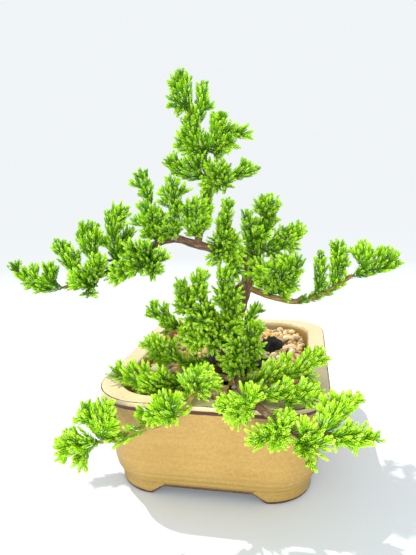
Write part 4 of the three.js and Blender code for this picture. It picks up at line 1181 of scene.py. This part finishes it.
# Fingers start at this share of a twig and end no nearer to its foot than the other
BARE_SHARE = 0.04
LEAST_END = 0.45
PLACE_STRAY = 0.6
ANGLE_STRAY = 0.4
FINGER_POINTS = 6
FINGER_TUBE = (3, 4)  # points along the stem inside a finger, and sides
TWIG_TUBE = (8, 6)
FINGER_FORWARD, FINGER_OUT, FINGER_LIFT = 1.0, 0.76, 0.22
FINGER_CURL = 0.18
FINGER_RANGE = (0.65, 1.1)
FINGER_SHORTER = (1.05, 0.2)  # the length at a twig's foot, and how much of it is lost at its end
LEAST_FINGER = 4.6
END_ROOM = 0.8
LEAST_TWIG = 0.4
# Tones of a finger: of its end and its foot, each with how much brighter it gets along the twig. The dark
# feet, and the darkening towards the twig's foot, are partly older growth and partly painted shade deep in
# the spray.
END_TONE, END_BRIGHTER = 0.48, 0.38
FOOT_TONE, FOOT_BRIGHTER = 0.03, 0.10
END_STRAY = 0.08
LEAST_END_TONE = 0.34

# Painted light: how much brighter and yellower than the rest the foliage of a stem is painted
PAINTED_LIGHT_LIFT = {"front_left_branch": 0.16, "front_right_branch": 0.22, "trunk": 0.04}


def grow_finger(needles, foot, way, length, random, tones):
    """A leafy finger: a short stem that curls up, closed in needles."""
    tip = foot + unit(way + UP * FINGER_CURL) * length
    points = arc_curve(foot, foot + way * length / 2, tip, FINGER_POINTS)
    needles.add_tube(points, FINGER_RADII, *FINGER_TUBE)
    clothe(needles, points, random, FINGER_LEAN, 1.0, tones)


def finger_tones(share, painted_light, random):
    """Tones from a finger's foot to its end, brighter the further out on the twig it grows: partly younger
    growth, partly painted shade on the fingers deep in the spray, and raised by its stem's painted light.
    """
    end = END_TONE + END_BRIGHTER * share + painted_light + random.normal(0, END_STRAY)
    return FOOT_TONE + FOOT_BRIGHTER * share + painted_light, np.clip(end, LEAST_END_TONE, MOST_TONE)


def places_round(points, step, random):
    """Places along a twig: the share of its length, the point, its tangent and a way out, which
    turns by the golden angle from one to the next."""
    tangents = tangents_of(points)
    length = length_of(points)
    count = max(2, int(length / step))
    end = max(LEAST_END, 1 - LEAD_ROOM / length)
    turn = random.uniform(0, 2 * math.pi)
    for i in range(count):
        share = np.interp(i + random.uniform(0, PLACE_STRAY), [0, count], [BARE_SHARE, end])
        k = int(share * (len(points) - 1))
        across = unit(np.cross(tangents[k], NEAR_UP))
        angle = turn + i * GOLDEN_ANGLE + random.uniform(-ANGLE_STRAY, ANGLE_STRAY)
        yield share, points[k], tangents[k], turned(across, tangents[k], angle)


def grow_fingers(needles, points, random, painted_light, step=FINGER_STEP, size=1.0):
    """Fingers on all sides of a twig, cut short where they would reach well past its tip."""
    length = length_of(points)
    full, lost = FINGER_SHORTER
    for share, foot, tangent, out in places_round(points, step, random):
        way = unit(tangent * FINGER_FORWARD + out * FINGER_OUT + UP * FINGER_LIFT)
        reach = size * FINGER_LENGTH * random.uniform(*FINGER_RANGE) * (full - lost * share)
        reach = max(LEAST_FINGER, min(reach, (1 - share) * length + END_ROOM))
        grow_finger(needles, foot, way, reach, random, finger_tones(share, painted_light, random))


def grow_twig(needles, points, random, painted_light):
    """A green twig: old needles all along it, fingers on all sides and a leading finger."""
    length = length_of(points)
    last = len(points) - 1
    bare = max(LEAST_TWIG, 1 - NEEDLE_LENGTH / length)
    points = resampled(points[:int(last * bare) + 1], len(points))
    needles.add_tube(points, TWIG_RADII, *TWIG_TUBE)
    clothe(needles, points, random, OLD_LEAN, OLD_SIZE, OLD_AND_SHADED_TONES + painted_light, OLD_STEP)
    grow_fingers(needles, points, random, painted_light)
    lead = points[int(last * max(0.0, 1 - FINGER_LENGTH / length)):]
    clothe(needles, lead, random, FINGER_LEAN, 1.0, finger_tones(1.0, painted_light, random))


# Sprays that also clothe a stretch of their stem: from and to, as shares of its length, how far
# apart the fingers are, and how long they are beside those of a twig
LEAFY_STRETCHES = {
    "apex_mid_left": (0.45, 1.0, 1.5, 1.0),
    "apex_low_left": (0.04, 0.47, 0.85, 1.15),
    "left_upright": (0.15, 1.0, 1.5, 1.0),
    "left_under": (0.80, 1.0, 1.8, 0.8),
    "low_right": (0.60, 0.97, 1.5, 1.4),
    "right_crown": (0.05, 1.0, 1.3, 1.1),
    "right_inner": (0.45, 1.0, 1.7, 0.75),
    "front_pad": (0.40, 0.70, 1.6, 0.9),
    "front_left_rise": (0.82, 1.0, 1.8, 0.8),
    "front_right_tip": (0.75, 1.0, 1.8, 0.8),
}
STEM_POINTS = 200
TWIG_POINTS = 60
FORK_PLACES = 12
FORK_BEFORE = 0.7
FORK_BEND = 0.45
SPRAY_SEED = 100


def clothe_stem(needles, points, stretch, random, painted_light):
    """Needles and small fingers straight from the bark of a young stem."""
    start, end, step, size = stretch
    last = len(points) - 1
    part = resampled(points[int(start * last):int(end * last) + 1], TWIG_POINTS)
    clothe(needles, part, random, OLD_LEAN, 1.0, BARK_NEEDLE_TONES + painted_light, OLD_STEP)
    grow_fingers(needles, part, random, painted_light, step, size)


def side_points(main, tip):
    """A side twig leaves the main one before the place nearest to its tip, and curves out to it."""
    places = resampled(main, FORK_PLACES + 1)
    away = np.linalg.norm(places - tip, axis=1)
    near = int(np.argmin(away))
    before = FORK_BEFORE * away[near] * FORK_PLACES / length_of(main)
    at = int(np.clip(round(near - before), 1, FORK_PLACES - 2))
    bend = places[at] + tangents_of(places)[at] * FORK_BEND * np.linalg.norm(tip - places[at])
    return twig_points(places[at], bend, tip)


def twig_points(start, bend, tip):
    """Evenly spaced points along a twig."""
    return resampled(arc_curve(start, bend, tip), TWIG_POINTS)


def nearest(points, target):
    """The one of the points that is nearest to the target."""
    return points[np.argmin(np.linalg.norm(points - target, axis=1))]


def make_foliage(material):
    """Every spray: its main twig from the nearest place on its stem, and its side twigs."""
    for i, (name, (stem, main, sides)) in enumerate(SPRAYS.items()):
        random = np.random.default_rng(SPRAY_SEED + i)
        needles = Needles()
        start, bend, tip = np.array(main, float)
        stem_points = route_curve(STEMS[stem][0], STEM_POINTS)
        twig = twig_points(nearest(stem_points, start), bend, tip)
        # painted light: the foliage of some stems is painted brighter and yellower
        painted_light = PAINTED_LIGHT_LIFT.get(stem, 0.0)
        grow_twig(needles, twig, random, painted_light)
        for side in np.array(sides, float):
            grow_twig(needles, side_points(twig, side), random, painted_light)
        if name in LEAFY_STRETCHES:
            clothe_stem(needles, stem_points, LEAFY_STRETCHES[name], random, painted_light)
        finish_piece(needles.mesh("needles_" + name, material), "foliage", "foliage_" + name)


# ---------------- drain meshes and their wires

NET_TONES = ((0.01, 0.012, 0.01), (0.03, 0.035, 0.03))
WIRE_TONES = ((0.35, 0.36, 0.37), (0.55, 0.56, 0.57))


def dress_drains():
    """The hidden meshes and staples keep their own shape and get materials."""
    net = plain_material("drain_net", NET_TONES, 0.7, 300.0)
    wire = plain_material("wire", WIRE_TONES, 0.4, 500.0)
    for end in ("front", "back"):
        for node, look in (("drain_mesh_", net), ("mesh_wire_", wire)):
            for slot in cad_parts[node + end].material_slots:
                slot.material = look


# ---------------- stage, light, camera

CAMERA_PLACE = (53.9, -338.3, 179.0)
CAMERA_YAW = -11.2
CAMERA_PITCH = -10.3
CAMERA_ROLL = -1.4
CAMERA_LENS = 32.0
CAMERA_SENSOR = 36.0
CAMERA_NEAR = 0.01


def make_camera():
    """The camera stands where the photo was taken from, and looks the same way."""
    yaw, pitch, roll = (math.radians(a) for a in (CAMERA_YAW, CAMERA_PITCH, CAMERA_ROLL))
    level = np.array([math.sin(yaw), math.cos(yaw)]) * math.cos(pitch)
    forward = np.array([*level, math.sin(pitch)])
    right = np.array([math.cos(yaw), -math.sin(yaw), 0])
    up = np.cross(right, forward)
    rolled_right = right * math.cos(roll) + up * math.sin(roll)
    rolled_up = up * math.cos(roll) - right * math.sin(roll)
    camera = bpy.data.objects.new("camera", bpy.data.cameras.new("camera"))
    camera.data.lens = CAMERA_LENS
    camera.data.sensor_width = CAMERA_SENSOR
    camera.data.clip_start = CAMERA_NEAR
    matrix = Matrix((rolled_right, rolled_up, -forward)).transposed().to_4x4()
    matrix.translation = Vector(placed(CAMERA_PLACE))
    camera.matrix_world = matrix
    bpy.context.scene.collection.objects.link(camera)
    bpy.context.scene.camera = camera


SKY_COLOUR = (0.875, 0.910, 0.935)
SUN_WAY = (0.55, -0.36, -1.0)
SUN_STRENGTH = 2.7
SUN_COLOUR = (1.0, 0.98, 0.94)
SUN_ANGLE = 1.0
FILL_PLACE = (0.1, -1.3, 0.28)
FILL_TARGET = (0, 0, 0.10)
FILL_SIZE = 0.5
FILL_POWER = 15.0
NEAR_FLOOR = (0.74, 0.775, 0.81)
FLOOR_HALF = 30.0


def far_floor():
    """The albedo at which the lit floor is just as bright as the sky behind it."""
    steepness = -SUN_WAY[2] / np.linalg.norm(SUN_WAY)
    return tuple(sky / (sky + SUN_STRENGTH * steepness * sun / math.pi)
                 for sky, sun in zip(SKY_COLOUR, SUN_COLOUR))


def floor_material():
    """A pale floor that fades into the background, so that no horizon shows."""
    n = Nodes("floor", roughness=0.9)
    away = n.add("ShaderNodeVectorMath", {0: n.place()}, operation="LENGTH").outputs["Value"]
    n.colour(n.mix(n.fade(away, 0.20, 0.95), NEAR_FLOOR, far_floor()))
    n.shader.inputs["Specular IOR Level"].default_value = 0.0
    return n.material


def make_stage():
    """A plain floor, wide enough to have no edge in sight."""
    sides = ((-1, -1), (1, -1), (1, 1), (-1, 1))
    mesh = bpy.data.meshes.new("floor")
    mesh.from_pydata([(x * FLOOR_HALF, y * FLOOR_HALF, 0) for x, y in sides], [], [(0, 1, 2, 3)])
    mesh.materials.append(floor_material())
    floor = bpy.data.objects.new("floor", mesh)
    bpy.context.scene.collection.objects.link(floor)


def add_lamp(name, kind, power, colour, way, place=(0, 0, 0)):
    """A lamp that shines along a way. Its light is returned, for what only its kind has."""
    light = bpy.data.lights.new(name, kind)
    light.energy = power
    light.color = colour
    lamp = bpy.data.objects.new(name, light)
    lamp.location = place
    lamp.rotation_euler = Vector(way).to_track_quat("-Z", "Y").to_euler()
    bpy.context.scene.collection.objects.link(lamp)
    return light


def make_light():
    """High key: a white room, one soft sun from behind and to the left, and a soft front fill."""
    world = bpy.data.worlds.new("studio")
    world.use_nodes = True
    background = world.node_tree.nodes["Background"]
    background.inputs["Color"].default_value = (*SKY_COLOUR, 1.0)
    background.inputs["Strength"].default_value = 1.0
    bpy.context.scene.world = world
    bpy.context.scene.view_settings.view_transform = "Standard"
    sun = add_lamp("key", "SUN", SUN_STRENGTH, SUN_COLOUR, SUN_WAY)
    sun.angle = math.radians(SUN_ANGLE)
    fill_way = Vector(FILL_TARGET) - Vector(FILL_PLACE)
    fill = add_lamp("fill", "AREA", FILL_POWER, (1.0, 1.0, 1.0), fill_way, FILL_PLACE)
    fill.shape = "DISK"
    fill.size = FILL_SIZE


# ---------------- the whole scene

make_camera()
make_stage()
make_light()
make_pot(glaze_material())
make_soil(soil_material())
make_gravel(stone_material())
make_wood()
make_foliage(foliage_material())
dress_drains()
